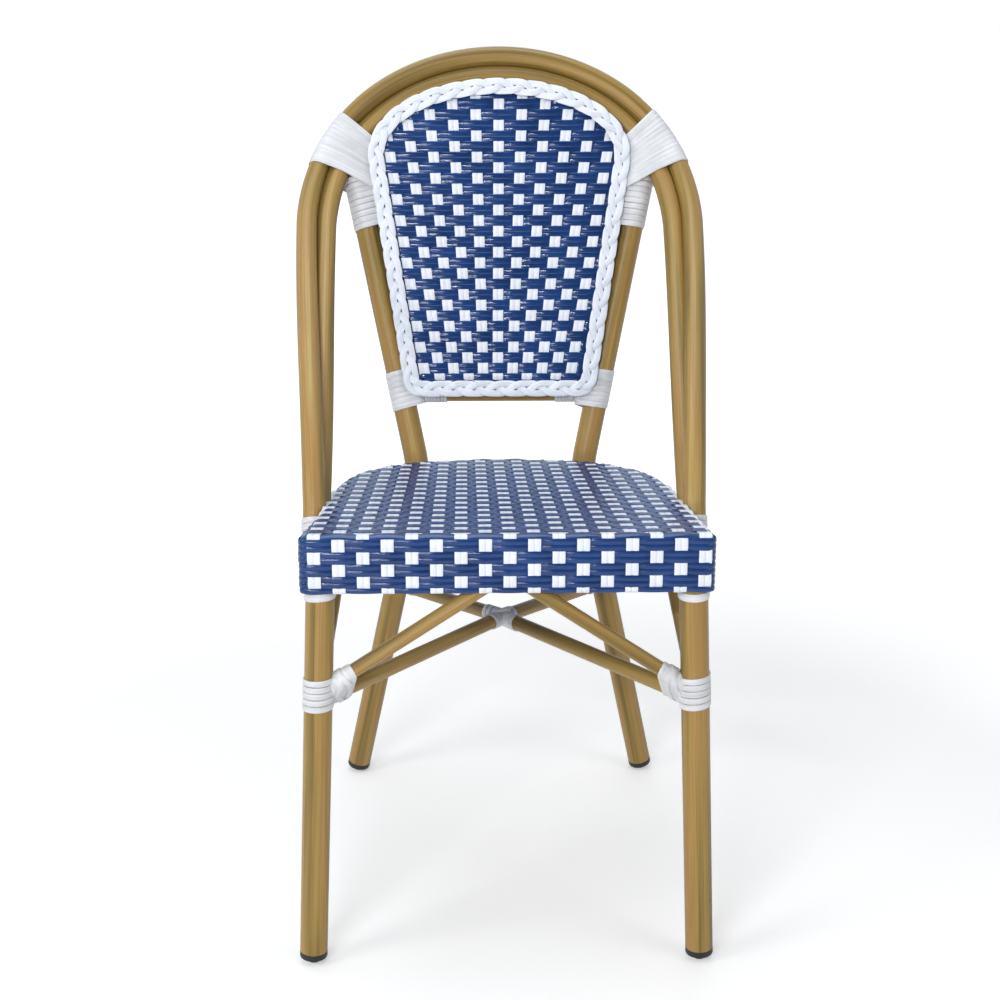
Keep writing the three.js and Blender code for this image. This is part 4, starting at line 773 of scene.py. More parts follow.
def seat_half_outline():
    """Half of the seat's outline as x and depth, from the middle of the front to the middle of the back."""
    front_end = SEAT_CORNER - Vector((CORNER_REACH, 0))
    aim, widest = Vector((SIDE_HALF, SIDE_AIM)), Vector((SIDE_HALF, SIDE_DEPTH))
    flare = (aim - SEAT_CORNER).normalized()
    after = SEAT_CORNER + flare * CORNER_REACH
    points = line(Vector((0, SEAT_FRONT)), front_end, 61)[:-1]
    points += curve_points([front_end, SEAT_CORNER, after], 30)[:-1]
    points += curve_points([after, after + flare * SIDE_HANDLE, aim, widest], 72)[:-1]
    handles = Vector((SIDE_HALF, REAR_HANDLES[0])), Vector((REAR_HANDLES[1], SEAT_BACK))
    return points + curve_points([widest, *handles, Vector((0, SEAT_BACK))], 150)


def whole_loop(half):
    """Both halves of a loop, closed, from its half on the right."""
    return half + [Vector((-spot.x, spot.y)) for spot in reversed(half[:-1])]


half_outline = seat_half_outline()
front_curve = [spot for spot in half_outline if spot.y < FRONT_TURN]
side_curve = half_outline[len(front_curve) - 2:]
back_curve = side_curve[len(side_curve) // 4:]


def square_to(step):
    """The direction square to a step along an outline, away from what it encloses."""
    return Vector((step.y, -step.x))


def cross_at(curve, value, axis):
    """Where a stretch of the outline reaches a value of x (axis 0) or depth (axis 1), and its normal."""
    for a, b in zip(curve, curve[1:]):
        if (a[axis] - value) * (b[axis] - value) <= 0 and a[axis] != b[axis]:
            spot = a.lerp(b, (value - a[axis]) / (b[axis] - a[axis]))
            return spot, square_to((b - a).normalized())
    return None


def slanted(width, facing):
    """A width square to the edge, measured along a strip that meets the edge at a slant."""
    return width / max(0.3, abs(facing))


def sag(x, depth):
    """How far the seat's top lies below its straight slope."""
    width = cross_at(side_curve, min(max(depth, 0), SEAT_BACK - 1), 1)[0].x
    return SAG * max(0, 1 - (x / width) ** 2) * max(0, 1 - ((depth - SAG_DEPTH) / SAG_REACH) ** 2)


def column_x(c, depth):
    """The middle of a pair of white strips, which draw together and drift to the left towards the back."""
    share = (depth - SEAT_FRONT) / SEAT_LENGTH
    return COLUMNS[c] * (1 - CONVERGE * share) + SKEW * share


def edge_place(spot, normal, flat_dir, angle, drop, lift):
    """A place on the wall or the rounded edge: angle 0 on the wall, 90 degrees on the top."""
    flat = spot - flat_dir * slanted(EDGE * (1 - math.cos(angle)), normal.dot(flat_dir))
    out = Vector((normal.x * math.cos(angle), normal.y * math.cos(angle), math.sin(angle)))
    return place(flat.x, flat.y, seat_height(flat.y) - drop) + out * lift * MM, out


def wall_places(spot, normal, flat_dir, keys, across):
    """Places up one wall and over the edge, from the bottom, with keys measured up from the bottom."""
    places = []
    for inset, rise in HOOKS:
        flat = spot - flat_dir * inset
        hook = place(flat.x, flat.y, seat_height(flat.y) - (APRON - rise))
        places.append((hook, Vector((normal.x, normal.y, 0)), across))
    for s, lift in beats(keys, 2.0, WALL - 0.1):
        places.append((*edge_place(spot, normal, flat_dir, 0, APRON - s, lift), across))
    for k in range(1, EDGE_STEPS):
        angle = math.pi / 2 * k / EDGE_STEPS
        drop = EDGE * (1 - math.sin(angle))
        lift = lift_at(keys, WALL + ARC * k / EDGE_STEPS)
        places.append((*edge_place(spot, normal, flat_dir, angle, drop, lift), across))
    return places


wall_heights = [APRON - drop for drop in reversed(LOOP_DROPS)]


def wall_keys(sign, above):
    """Keys up a wall: the loops from the bottom one, then the first row on the top."""
    return [(s, sign * over(k)) for k, s in enumerate(wall_heights)] + [(WALL + ARC, above)]


def is_sideways(depth):
    """Whether the seat's side is steep enough at a depth for a row to turn down it."""
    found = cross_at(side_curve, depth, 1)
    return found is not None and abs(found[1].x) > SIDEWAYS and depth > 0


turned = [j for j in range(ROWS) if is_sideways(row_depths[j])]
if len(turned) % 2 == 0:
    turned.pop()


def weft_places(j, offset):
    """A blue strip across the seat, offset from its row's middle, and down the sides where they're steep."""
    flat = row_depths[j] + offset - SEAT_FRONT
    at_front = flat < SEAT_LENGTH / 2
    on_edge = EDGE - min(flat, SEAT_LENGTH - flat)
    angle = math.pi / 2 - max(0, on_edge) / EDGE
    inset = EDGE * (1 - math.cos(angle)) if on_edge > 0 else EDGE - on_edge
    drop = EDGE * (1 - math.sin(angle))
    depth = SEAT_FRONT + (inset if at_front else SEAT_LENGTH - inset)
    spot, normal = cross_at(side_curve if depth > FRONT_TURN else front_curve, depth, 1)
    inner = spot.x - slanted(EDGE, normal.x)
    keys = [(column_x(c, depth), over(j + 1 + c, WEFT_LIFT)) for c in range(COLUMN_COUNT)]
    keys = [key for key in keys if abs(key[0]) < inner - KEY_CLEAR]
    first, last = keys[0], keys[-1]
    keys = [(first[0] - KEY_BEYOND, -first[1])] + keys + [(last[0] + KEY_BEYOND, -last[1])]
    forward = -math.cos(angle) if at_front else math.cos(angle)
    out = Vector((0, forward + SEAT_SLOPE, math.sin(angle))).normalized()
    across = Vector((0, out.z, -out.y))
    top = []
    for x, lift in beats(keys, -inner, inner):
        middle = place(x, depth, seat_height(depth) - drop - sag(x, depth))
        top.append((middle + out * lift * MM, out, across))
    ends = []
    for side, _ in SIDES:
        if j in turned:
            facing = Vector((side * normal.x, normal.y))
            run = Vector((-facing.y * side, facing.x * side, 0))
            keys_up = wall_keys(1 if turned.index(j) % 2 == 0 else -1, -keys[1][1])
            point = Vector((side * spot.x, spot.y))
            ends.append(wall_places(point, facing, Vector((side, 0)), keys_up, run))
        else:
            tip = place(side * (inner + TUCK), depth, seat_height(depth) - drop - TUCK_DROP)
            ends.append([(tip, Vector((side, 0, 1)).normalized(), across)])
    return ends[0] + top + ends[1][::-1]


def warp_places(c, offset):
    """A white strip from the front's bottom, over the seat and down the back where it faces backward."""
    sign = 1 if c % 2 else -1
    x_front = COLUMNS[c] + offset
    spot, normal = cross_at(front_curve, abs(x_front), 0)
    spot, normal = Vector((x_front, spot.y)), Vector((math.copysign(normal.x, x_front), normal.y))
    front = wall_places(spot, normal, Vector((0, -1)), wall_keys(sign, over(c)), RIGHT)
    x_back = column_x(c, NEAR_BACK) + offset
    for _ in range(4):
        end, facing = cross_at(back_curve, abs(x_back), 0)
        x_back = column_x(c, end.y) + offset
    top_end = end.y - slanted(EDGE, facing.y)
    keys = [(depth, TOP_LIFTS[(j + c) % 2]) for j, depth in enumerate(row_depths) if depth < top_end + 2]
    top = []
    out = Vector((0, SEAT_SLOPE, 1)).normalized()
    for depth, lift in beats(keys, SEAT_FRONT + EDGE, top_end):
        x = column_x(c, depth) + offset
        top.append((place(x, depth, seat_height(depth) - sag(x, depth)) + out * lift * MM, out, RIGHT))
    if facing.y <= BACKWARD:
        tip = place(x_back, top_end + TUCK, seat_height(end.y) - TUCK_DROP)
        return front + top + [(tip, Vector((0, 1, 1)).normalized(), RIGHT)]
    facing = Vector((math.copysign(facing.x, x_back), facing.y))
    run = Vector((facing.y, -facing.x, 0))
    back = wall_places(Vector((x_back, end.y)), facing, Vector((0, 1)), wall_keys(sign, keys[-1][1]), run)
    return front + top + back[::-1]


closed_outline = whole_loop(half_outline)
reach = lengths_along(closed_outline)


def crossings_round():
    """Where the loops meet the strips down the apron, in order round it, with the number of each."""
    marks = [(Vector((COLUMNS[c], SEAT_FRONT)), c) for c in range(COLUMN_COUNT)]
    count = len(turned)
    for number, j in enumerate(turned):
        side = cross_at(side_curve, row_depths[j], 1)[0]
        marks.append((side, COLUMN_COUNT + number))
        marks.append((Vector((-side.x, side.y)), 2 * COLUMN_COUNT + 2 * count - 1 - number))
    for c in range(COLUMN_COUNT):
        x = column_x(c, NEAR_BACK)
        spot, facing = cross_at(back_curve, abs(x), 0)
        if facing.y > BACKWARD:
            marks.append((Vector((math.copysign(spot.x, x), spot.y)), 2 * COLUMN_COUNT + count - 1 - c))
    keys = []
    for mark, number in marks:
        index = min(range(len(closed_outline)), key=lambda i: (closed_outline[i] - mark).length)
        keys.append((reach[index], number))
    keys.sort()
    (first, first_number), (last, last_number) = keys[0], keys[-1]
    return [(last - reach[-1], last_number)] + keys + [(first + reach[-1], first_number)]


def outline_at(s):
    """The outline's place at a distance along it, and the normal there."""
    index = max(i for i in range(len(reach) - 1) if reach[i] <= s)
    a, b = closed_outline[index], closed_outline[index + 1]
    share = (s - reach[index]) / max(SEAM, reach[index + 1] - reach[index])
    before = closed_outline[index - 1] if index else closed_outline[-2]
    after = closed_outline[index + 2] if index + 2 < len(closed_outline) else closed_outline[1]
    step = ((b - before).normalized().lerp((after - a).normalized(), share)).normalized()
    return a.lerp(b, share), square_to(step)


around = crossings_round()
corners = {s for s, spot in zip(reach, closed_outline)
           if abs(spot.x) > CORNER_AREA[0] and spot.y < CORNER_AREA[1]}


def loop_places(r, drop):
    """A blue strip round the apron, at a drop below the seat's top."""
    keys = [(s, over(number + r)) for s, number in around]
    stations = {s for s, _ in beats(keys, 0.0, reach[-1])} | corners
    places = []
    for s in sorted(stations - {reach[-1]}):
        spot, normal = outline_at(s)
        out = Vector((normal.x, normal.y, 0))
        flat = place(spot.x, spot.y, seat_height(spot.y) - drop)
        places.append((flat + out * lift_at(keys, s) * MM, out, UP))
    return places + [places[0]]


def edge_places():
    """A blue strip under the others along the rounded edge, which closes it at the corners."""
    places = []
    angle = math.pi / 4
    befores = closed_outline[-2:-1] + closed_outline
    afters = closed_outline[1:] + closed_outline[1:2]
    for spot, before, after in zip(closed_outline, befores, afters):
        normal = square_to((after - before).normalized())
        at, out = edge_place(spot, normal, normal, angle, EDGE * (1 - math.sin(angle)), EDGE_STRIP_LIFT)
        places.append((at, out, Vector((normal.x, normal.y, -1)).normalized()))
    return places[:-1] + [places[0]]


white_resin = resin("white_resin", (0.75, 0.785, 0.865), (0.84, 0.87, 0.945), 0.34, level=0.3)
blue_resin = resin("blue_resin", (0.006, 0.030, 0.120), (0.014, 0.056, 0.215), 0.14, grain=0.006)
seat_warps = [strip(warp_places(c, offset)) for c in range(COLUMN_COUNT) for offset in PAIR]
seat_wefts = [strip(weft_places(j, offset), TOP_STRIP) for j in range(ROWS) for offset in ROW_PAIR]
apron_loops = [strip(loop_places(r, drop + offset), ROUND_STRIP, closed=True)
               for r, drop in enumerate(LOOP_DROPS[:-1]) for offset in LOOP_PAIR]
last_loop = loop_places(len(LOOP_DROPS) - 1, LOOP_DROPS[-1])
apron_loops.append(strip(last_loop, widened(ROUND_STRIP, LAST_LOOP_WIDTH), closed=True))
apron_loops.append(strip(edge_places(), widened(ROUND_STRIP, EDGE_STRIP_WIDTH), closed=True))
add_piece("seat_white_strips", joined(seat_warps), white_resin, ["seat_weave"])
add_piece("seat_blue_strips", joined(seat_wefts), blue_resin, ["seat_weave"])
add_piece("apron_blue_strips", joined(apron_loops), blue_resin, ["seat_weave"])

# Back panel. The same pairs of strips woven flat, their ends wound round an
# aluminium rod that stands inside the uprights and the hoops.
ROD = 7.4
ROD_SIDES = 16
ROD_STAND = 5.3
ROD_SHOULDER = 340
ROD_CORNER = 14
ROD_HANDLES = 70, 76
BRAID_FORWARD = 19.24
ROD_FORWARD = BRAID_FORWARD / 3
WEAVE_FORWARD = 14.2
FLARE = math.atan2(170.6 - BEND_SPREAD, up_slope(758))
BACK_FRONT = Vector((0, -math.cos(LEAN), math.sin(LEAN)))
BACK_UP = Vector((0, math.sin(LEAN), math.cos(LEAN)))
BACK_COLUMNS = 11
COLUMNS_HIGH = 377.1, -127.7, 25.4
COLUMNS_LOW = 122.7, -88.9, 17.25
FIRST_ROW = 433.1
ROW_PITCH = 12.28
BACK_ROW_PAIR = -ROW_PITCH / 4, ROW_PITCH / 4
WRAP = ROD / 2 + 0.66
WRAP_START = 235
WRAP_TURN = 27
WRAP_STEPS = 9
WRAP_CLEAR = 9
WIDEST_SLANT = 2.5
BACK_ROWS = range(-1, 27)
BACK_KEYS = range(-3, 30)
ROW_BEYOND = 12
COLUMN_BEYOND = 14
ARCH_GUESS = 420.0
BOTTOM_GUESS = 110


def back_loop(low, high, top, corner, handles):
    """Half of a loop on the back as x and distance up, from its bottom's middle to its top's."""
    low_end = Vector((low.x - corner, low.y))
    up = (high - low).normalized()
    points = line(Vector((0, low.y)), low_end, 41)[:-1]
    points += curve_points([low_end, low, low + up * corner], 20)[:-1]
    points += line(low + up * corner, high, 80)[:-1]
    arch = [high, high + up * handles[0], Vector((handles[1], top)), Vector((0, top))]
    return points + curve_points(arch, 100)


def beside(radius):
    """How far the rod's axis stands from that of a tube of this radius, measured across the back."""
    return math.sqrt((radius + ROD_STAND) ** 2 - ROD_FORWARD ** 2)


def rod_corner(up):
    """Where the rod stands at a distance up the back, as x and that distance."""
    return Vector((upright_half_spread(up) - beside(LEG / 2) / math.cos(FLARE), up))


rod_half = back_loop(rod_corner(RAIL_UP + beside(RAIL / 2)), rod_corner(ROD_SHOULDER),
                     HOOP_TOP - HOOP - HOOP_GAP - beside(HOOP / 2), ROD_CORNER, ROD_HANDLES)
rod_points = [back_point(spot.x, spot.y, ROD_FORWARD) for spot in whole_loop(rod_half)]
add_piece("back_rod_bar", round_tube(evenly(rod_points, 240), ROD, ROD_SIDES), bamboo, ["back_edge_rod"])


def back_column(c, up):
    """The middle of a pair of white strips, which spread towards the top."""
    (low_up, low_first, low_pitch), (high_up, high_first, high_pitch) = COLUMNS_LOW, COLUMNS_HIGH
    low, high = low_first + low_pitch * c, high_first + high_pitch * c
    return low + (high - low) * (up - low_up) / (high_up - low_up)


def rod_crossings(value, axis):
    """Where half of the rod reaches a value of x (axis 0) or distance up (axis 1), and its direction."""
    return [(a.lerp(b, (value - a[axis]) / (b[axis] - a[axis])), (b - a).normalized())
            for a, b in zip(rod_half, rod_half[1:])
            if a[axis] != b[axis] and (a[axis] - value) * (b[axis] - value) <= 0]


def slant(share):
    """How much longer a wrap round the rod is where the strip meets the rod at a slant."""
    return min(WIDEST_SLANT, 1 / max(0.2, abs(share)))


def woven_back(ends, slants, keys, spot_at, across):
    """A strip across the panel between two stretches of the rod, its ends wound round the rod."""
    way = (spot_at(1, 0) - spot_at(0, 0)).normalized()
    wraps = []
    for end, wide, sign in zip(ends, slants, (-1, 1)):
        wrap = []
        for k in range(WRAP_STEPS):
            angle = math.radians(WRAP_START - WRAP_TURN * k)
            spot = spot_at(end + sign * WRAP * wide * math.sin(angle), ROD_FORWARD + WRAP * math.cos(angle))
            wrap.append((spot, way * sign * math.sin(angle) + BACK_FRONT * math.cos(angle), across))
        wraps.append(wrap)
    woven = [(spot_at(s, WEAVE_FORWARD + lift), BACK_FRONT, across)
             for s, lift in beats(keys, ends[0] + WRAP_CLEAR, ends[1] - WRAP_CLEAR)]
    return wraps[0] + woven + wraps[1][::-1]


def back_weft(n, offset, end, step):
    """A blue strip across the panel, between the two places where the rod crosses its row."""
    up = FIRST_ROW - ROW_PITCH * n + offset
    keys = [(back_column(c, up), over(n + c)) for c in range(-1, BACK_COLUMNS + 1)]
    keys = [key for key in keys if abs(key[0]) < end.x + ROW_BEYOND]

    def spot_at(x, forward):
        return back_point(x, up, forward)

    places = woven_back((-end.x, end.x), [slant(step.y)] * 2, keys, spot_at, BACK_UP)
    return strip(places, ROUND_STRIP)


def back_warp(c, offset):
    """A white strip up the panel, from the rod's bottom to its arch."""
    def spot_at(up, forward):
        return back_point(back_column(c, up) + offset, up, forward)

    guess = ARCH_GUESS
    for _ in range(6):
        high, step = rod_crossings(abs(back_column(c, guess) + offset), 0)[-1]
        guess = high.y
    low = rod_crossings(abs(back_column(c, BOTTOM_GUESS) + offset), 0)[0][0]
    keys = sorted((FIRST_ROW - ROW_PITCH * n, over(n + c + 1)) for n in BACK_KEYS)
    keys = [key for key in keys if low.y - COLUMN_BEYOND < key[0] < high.y + COLUMN_BEYOND]
    return strip(woven_back((low.y, high.y), (1, slant(step.x)), keys, spot_at, RIGHT))


back_wefts = []
for n in BACK_ROWS:
    for offset in BACK_ROW_PAIR:
        found = rod_crossings(FIRST_ROW - ROW_PITCH * n + offset, 1)
        if found:
            back_wefts.append(back_weft(n, offset, *found[-1]))
back_warps = [back_warp(c, offset) for c in range(BACK_COLUMNS) for offset in PAIR]
add_piece("back_blue_strips", joined(back_wefts), blue_resin, ["back_weave"])
add_piece("back_white_strips", joined(back_warps), white_resin, ["back_weave"])

# Braid. Three flat white resin strips plaited all round the panel's edge, over the
# ends of its weave, and laced on.
BRAID = 18.8
BRAID_CORNER = 22
BRAID_LOW = Vector((111.8, 92.5))
BRAID_HIGH = Vector((152.2, 365))
BRAID_TOP = 462.3
BRAID_HANDLES = 55, 77
BRAID_STEPS = 800
STRANDS = 3
PLAIT_PERIODS = 15
PLAIT_SWAY = 6.35
PLAIT_TURN = 0.12
PLAIT_RISE = 1.25
BAND = [(-3.8, 0.0), (-3.4, -0.5), (3.4, -0.5), (3.8, 0.0), (3.3, 0.5), (1.8, 0.8), (0.3, 0.86), (0, 0.6),
        (-0.3, 0.86), (-1.8, 0.8), (-3.3, 0.5)]
half_braid = BRAID / 2
braid_half = back_loop(BRAID_LOW + Vector((-half_braid, half_braid)), BRAID_HIGH - Vector((half_braid, 0)),
                       BRAID_TOP - half_braid, BRAID_CORNER - half_braid, BRAID_HANDLES)
braid_path = evenly(whole_loop(braid_half), BRAID_STEPS + 1)
strands = []
for strand in range(STRANDS):
    places = []
    for k in range(BRAID_STEPS):
        after, before = braid_path[(k + 1) % BRAID_STEPS], braid_path[(k - 1) % BRAID_STEPS]
        side = square_to((after - before).normalized())
        phase = 2 * math.pi * (PLAIT_PERIODS * k / BRAID_STEPS + strand / STRANDS)
        sway = PLAIT_SWAY * (math.sin(phase) + PLAIT_TURN * math.sin(3 * phase))
        spot = braid_path[k] + side * sway
        front = back_point(spot.x, spot.y, BRAID_FORWARD + PLAIT_RISE * math.sin(2 * phase))
        places.append((front, BACK_FRONT, Vector((side.x, 0, 0)) + BACK_UP * side.y))
    strands.append(strip(places + [places[0]], BAND, closed=True))
add_piece("back_plait", joined(strands), white_resin, ["back_braid"])

# Bindings. Flat white resin strips wound tightly round the tubes at each joint, which
# cover the welds: at the shoulders, the uprights, the back rail, the seat and the legs.
WRAP_STRIP = [(-3.0, 0.15), (-2.7, 0.0), (2.7, 0.0), (3.0, 0.15), (2.95, 0.9), (2.4, 1.2), (0, 1.3),
              (-2.4, 1.2), (-2.95, 0.9)]
PITCH = 6.7
RIM_STEPS = 48
WRAP_ROOM = 0.15
ROD_BOUND = 5 + WRAP_ROOM
SHOULDER_START = 194
SHOULDER_LENGTH = 72
SHOULDER_RIM = 4
SHOULDER_ROOM = 0.5
SHOULDER_UPRIGHT = [600 + k / 2 for k in range(320)]
SHOULDER_REACH = 90
SHOULDER_JOINING = 0.1, 0.55
UPRIGHT_ROOM = 1.5
UPRIGHT_BOUND = 750
SEAT_JOINT_ROOM = 0.3
SEAT_JOINT_START = 27
SEAT_JOINT_LENGTH = 25
RAIL_END_START = 97.5
RAIL_END_LENGTH = 34
LEG_TOP_ROOM = 0.1
LEG_TOP_GAP = 2.5
LEG_TOP_PITCH = 0.9


def tight_loop(tubes, along):
    """The loop pulled tight round tubes given as centre and radius: its points and outward directions."""
    across = along.orthogonal().normalized()
    if len(tubes) > 1:
        across = tubes[1][0] - tubes[0][0]
        across = (across - along * across.dot(along)).normalized()
    out = along.cross(across)
    rim = []
    for centre, radius, *_ in tubes:
        flat = centre - tubes[0][0]
        for k in range(RIM_STEPS):
            angle = 2 * math.pi * (k + 0.5) / RIM_STEPS
            x, y = math.cos(angle), math.sin(angle)
            rim.append((flat.dot(across) + radius * MM * x, flat.dot(out) + radius * MM * y,
                        centre + (across * x + out * y) * radius * MM, across * x + out * y))
    rim.sort(key=lambda spot: spot[:2])

    def half(spots):
        kept = []
        for spot in spots:
            while len(kept) > 1 and ((kept[-1][0] - kept[-2][0]) * (spot[1] - kept[-2][1])
                                     <= (kept[-1][1] - kept[-2][1]) * (spot[0] - kept[-2][0])):
                kept.pop()
            kept.append(spot)
        return kept[:-1]

    return [spot[2:] for spot in half(rim) + half(rim[::-1])]


def loop_place(tubes, along, share):
    """The place and the outward direction at a share of the way round the tight loop."""
    hull = tight_loop(tubes, along)
    hull.append(hull[0])
    lengths = [(b[0] - a[0]).length for a, b in zip(hull, hull[1:])]
    goal = share % 1 * sum(lengths)
    for (a, out_a), (b, out_b), length in zip(hull, hull[1:], lengths):
        if goal <= length:
            break
        goal -= length
    part = goal / max(length, 1e-9)
    return a.lerp(b, part), out_a.lerp(out_b, part).normalized()


def back_share(tubes, along):
    """How far round the loop its most backward-facing spot lies, where the strip's ends are tucked away."""
    shares = (k / RIM_STEPS for k in range(RIM_STEPS))
    return max(shares, key=lambda share: loop_place(tubes, along, share)[1].y)


def lying(tubes, along, spot):
    """The way a strip's width lies, where the tubes of a bundle aren't parallel."""
    if len(tubes[0]) < 3:
        return along
    gap = tubes[1][0] - tubes[0][0]
    share = min(1, max(0, (spot - tubes[0][0]).dot(gap) / gap.length_squared))
    return tubes[0][2].lerp(tubes[1][2], share).normalized()


def winding(bundle_at, turns, steps, width, seed, sway=0.25, tilt=0.0):
    """A flat strip wound round a bundle in one helix, each turn lying a little unevenly."""
    chance = random.Random(seed)
    shifts = [chance.uniform(-sway, sway) for _ in range(int(turns) + 3)]
    first, last = back_share(*bundle_at(0)), back_share(*bundle_at(1))
    start = first - (turns - round(turns)) / 2
    slip = (last - first + 0.5) % 1 - 0.5
    places = []
    count = int(turns * steps)
    for k in range(count + 1):
        t = k / count
        tubes, along = bundle_at(t)
        turn = t * turns
        spot, outward = loop_place(tubes, along, start + turn + slip * t)
        lie = lying(tubes, along, spot)
        whole = int(turn)
        shift = shifts[whole] + (shifts[whole + 1] - shifts[whole]) * (turn - whole)
        shift += tilt * math.sin(2 * math.pi * (start + turn))
        places.append((spot + lie * shift * MM, (outward - lie * outward.dot(lie)).normalized(), lie))
    return strip(places, widened(WRAP_STRIP, width))


def add_binding(kind, name, shape):
    """A winding shown in place of the CAD's plain sleeve on that side."""
    add_piece(f"{kind}_strip_{name}", shape, wrap_resin, [f"{kind}_{name}"])


def upright_bundle(side, start, length, t):
    """An upright and the rod beside it, at a share of a length down from a distance up the back."""
    up = start - length * t
    first = upright_point(side, up)
    along = (first - upright_point(side, up + 1)).normalized()
    inward = Vector((-side, 0, 0))
    inward = (inward - along * inward.dot(along)).normalized()
    second = first + inward * beside(LEG / 2) * MM + BACK_FRONT * ROD_FORWARD * MM
    return [(first, LEG / 2 + WRAP_ROOM), (second, ROD_BOUND)], along


hoop_lengths = {side: lengths_along(hoops[side][0])[-1] / MM for side, _ in SIDES}
rod_rim = [back_point(spot.x, spot.y, ROD_FORWARD) for spot in braid_path[::2]]


def hoop_at(side, length):
    """The axes of the two hoops at a length down from the top, and the direction along them."""
    count = len(hoops[side][0])
    exact = min(count - 1.001, length / hoop_lengths[side] * (count - 1))
    index = int(exact)
    outer, inner, along = (points[index].lerp(points[index + 1], exact - index) for points in hoops[side])
    return outer, inner, along.normalized()


def shoulder_bundle(side, t):
    """Both hoops, the panel's rim and, further down, the upright."""
    outer, inner, along = hoop_at(side, SHOULDER_START + SHOULDER_LENGTH * t)

    def off_plane(spot):
        return abs((spot - outer).dot(along))

    upright = min((upright_point(side, up_slope(height)) for height in SHOULDER_UPRIGHT), key=off_plane)
    near = [spot for spot in rod_rim if spot.x * side > 0 and (spot - outer).length < SHOULDER_REACH * MM]
    rim = min(near, key=off_plane)
    share = min(1, (t + SHOULDER_JOINING[0]) / SHOULDER_JOINING[1])
    third = inner.lerp(upright, share)
    third -= along * (third - outer).dot(along)
    radius = HOOP / 2 + (LEG / 2 + UPRIGHT_ROOM - HOOP / 2) * share
    bound = HOOP / 2 + SHOULDER_ROOM
    return [(outer, bound), (inner, bound), (rim, SHOULDER_RIM), (third, radius)], along


def seat_joint_bundle(side, t):
    """Both hoops beside the seat."""
    outer, inner, along = hoop_at(side, hoop_lengths[side] - SEAT_JOINT_START + SEAT_JOINT_LENGTH * t)
    return [(outer, HOOP / 2 + SEAT_JOINT_ROOM), (inner, HOOP / 2 + SEAT_JOINT_ROOM)], along


def rail_end_bundle(side, t):
    """The back rail and the rod above it."""
    x = side * (RAIL_END_START - RAIL_END_LENGTH * t)
    rod = back_point(x, RAIL_UP + beside(RAIL / 2), ROD_FORWARD)
    return [(back_point(x, RAIL_UP), RAIL / 2 + WRAP_ROOM), (rod, ROD_BOUND)], Vector((-side, 0, 0))


def leg_top_bundle(side, t):
    """A front leg just under the apron."""
    first = front_leg_point(side, seat_height(0) - APRON - LEG_TOP_GAP - t * LEG_TOP_PITCH * PITCH)
    return [(first, LEG / 2 + LEG_TOP_ROOM)], (front_leg_point(side, 0) - first).normalized()


wrap_resin = resin("wrap_resin", (0.60, 0.60, 0.62), (0.80, 0.80, 0.82), 0.42, 700)
for side, name in SIDES:
    upright = partial(upright_bundle, side, up_slope(UPRIGHT_BOUND), 9 * PITCH)
    rail_end = partial(rail_end_bundle, side)
    add_binding("shoulder_binding", name,
                winding(partial(shoulder_bundle, side), turns=12, steps=44, width=1.1, seed=3 + side))
    add_binding("upright_binding", name, winding(upright, turns=9, steps=36, width=1.08, seed=13 + side))
    add_binding("back_rail_binding", name,
                winding(rail_end, turns=9, steps=28, width=0.6, seed=23 + side, sway=0.15))
    add_binding("hoop_seat_binding", name,
                winding(partial(seat_joint_bundle, side), turns=4, steps=44, width=1.0, seed=33 + side))
    leg_top = winding(partial(leg_top_bundle, side), turns=1.3, steps=32, width=1.3, seed=43 + side,
                      sway=0.1, tilt=1.5 * side)
    add_binding("leg_top_binding", name, leg_top)

# Lashings. Longer windings of the same strip where several tubes meet: the back
# rail's ends, the braces' joints with the legs, and the crossing under the seat.
UPRIGHT_LASHED = 527.5
UPRIGHT_LASHED_MORE = 1.5
LEG_LASHED = 16.7
TUBE_ROOM = 0.12
FORK_ROOM = 0.2
FORK_START = 12
FORK_LENGTH = 28
FORK_OVER = 1.35
REAR_LASHED = 14, 34
BELT_SPREAD = 12
BELT_RISE = 9.4
BELT_WAY = Vector((0, 0.75, 0.66))


def tube_bundle(start, along, low, high, radius, t):
    """One tube, at a share of the way between two distances from its start."""
    return [(start + along * (low + (high - low) * t) * MM, radius + TUBE_ROOM)], along


def tube_winding(start, end, radius, low, high, seed):
    """A strip wound round one tube between two distances from its start."""
    bundle = partial(tube_bundle, start, (end - start).normalized(), low, high, radius)
    return winding(bundle, turns=max(1, round((high - low) / PITCH)), steps=32, width=1.0, seed=seed)


def fork_bundle(side, t):
    """A strut and a brace where they leave the front leg."""
    strut_way = (strut_top[side] - strut_joint[side]).normalized()
    brace_way = (crossing - front_joint[side]).normalized()
    distance = (FORK_START + FORK_LENGTH * t) * MM
    first = strut_joint[side] + strut_way * distance
    second = front_joint[side] + brace_way * distance
    tubes = [(first, STRUT / 2 + FORK_ROOM, strut_way), (second, BRACE / 2 + FORK_ROOM, brace_way)]
    return tubes, (strut_way + brace_way).normalized()


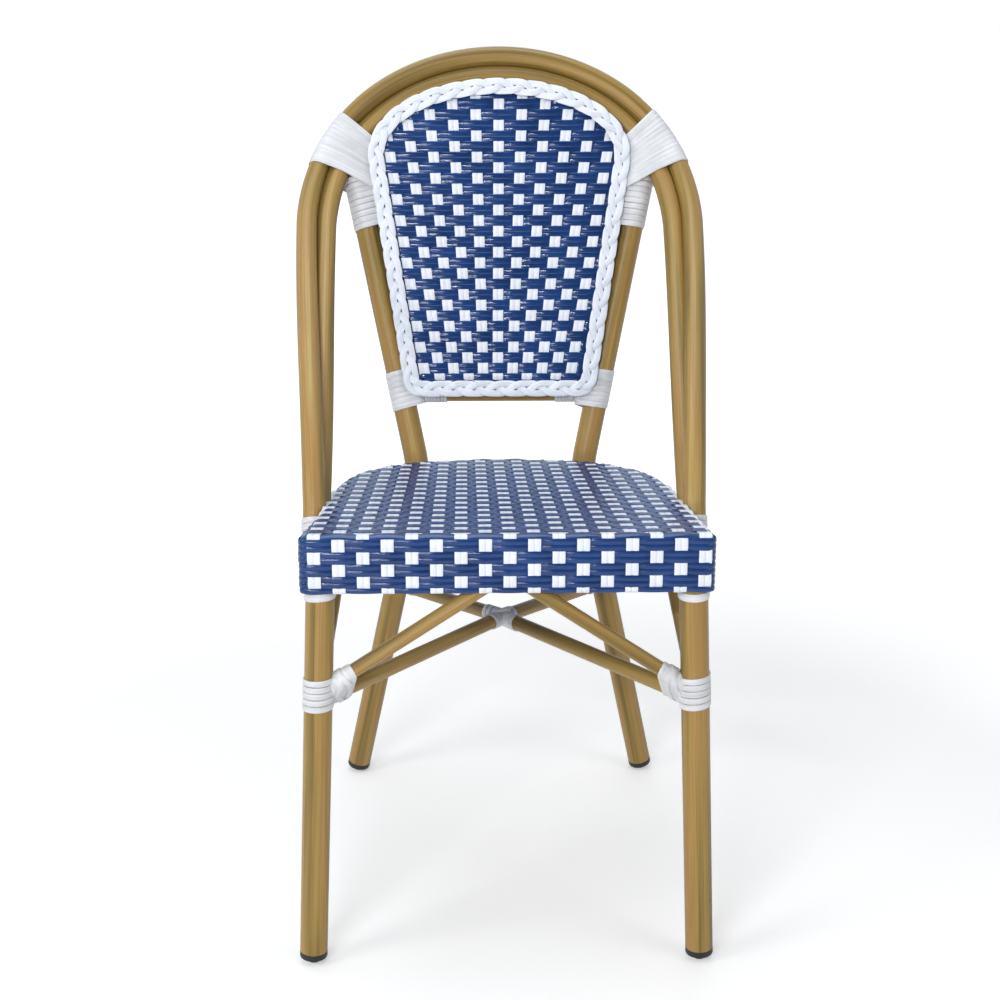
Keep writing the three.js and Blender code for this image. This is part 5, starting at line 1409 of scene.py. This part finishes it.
def fork_over_bundle(side, t):
    """The same fork with its first winding on it, along the winding's middle."""
    tubes, along = fork_bundle(side, 0.25 + 0.5 * t)
    return [(centre, radius + FORK_OVER, way) for centre, radius, way in tubes], along


def belt_bundle(t):
    """A loop over the front arms and under the rear ones."""
    spots = []
    for sign, joints in (1, (front_joint[-1], front_joint[1])), (-1, (rear_joint[1], rear_joint[-1])):
        for end in joints:
            offset = (end - crossing).normalized() * BELT_SPREAD + Vector((0, 0, sign * BELT_RISE))
            spots.append((crossing + offset * MM, 1))
    return spots, BELT_WAY.normalized()


for side, name in SIDES:
    upright = partial(upright_bundle, side, up_slope(UPRIGHT_LASHED) + UPRIGHT_LASHED_MORE, 6.6 * PITCH)
    add_binding("upright_lashing", name, winding(upright, turns=7, steps=36, width=1.08, seed=53 + side))
    foot = front_leg_point(side, 0)
    middle = (strut_joint[side] - foot).length / MM + 1
    leg_loops = tube_winding(foot, front_leg_point(side, AIM_HEIGHT), LEG / 2, middle - LEG_LASHED,
                             middle + LEG_LASHED, 63 + side)
    fork, fork_over = partial(fork_bundle, side), partial(fork_over_bundle, side)
    fork_loops = [winding(fork, turns=6, steps=40, width=0.9, seed=73 + side),
                  winding(fork_over, turns=1, steps=40, width=1.0, seed=75 + side, tilt=8 * side),
                  winding(fork_over, turns=1, steps=40, width=0.9, seed=77 + side, tilt=-6 * side)]
    add_binding("leg_lashing", name, joined([leg_loops, *fork_loops]))
    rear_loops = tube_winding(rear_joint[side], crossing, BRACE / 2, *REAR_LASHED, 83 + side)
    add_binding("rear_lashing", name, rear_loops)
sleeves = (front_joint[1], 28), (front_joint[-1], 22), (rear_joint[-1], 26), (rear_joint[1], 18)
crossing_loops = [tube_winding(crossing, end, BRACE / 2, 4, length, 93 + k)
                  for k, (end, length) in enumerate(sleeves)]
crossing_loops.append(winding(belt_bundle, turns=2, steps=48, width=0.7, seed=97, tilt=2.5))
add_piece("crossing_lashing_strip", joined(crossing_loops), wrap_resin, ["crossing_lashing"])

# The picture is shown with plain colours, without a film-like curve.
bpy.context.view_layer.update()
bpy.context.scene.view_settings.view_transform = "Standard"
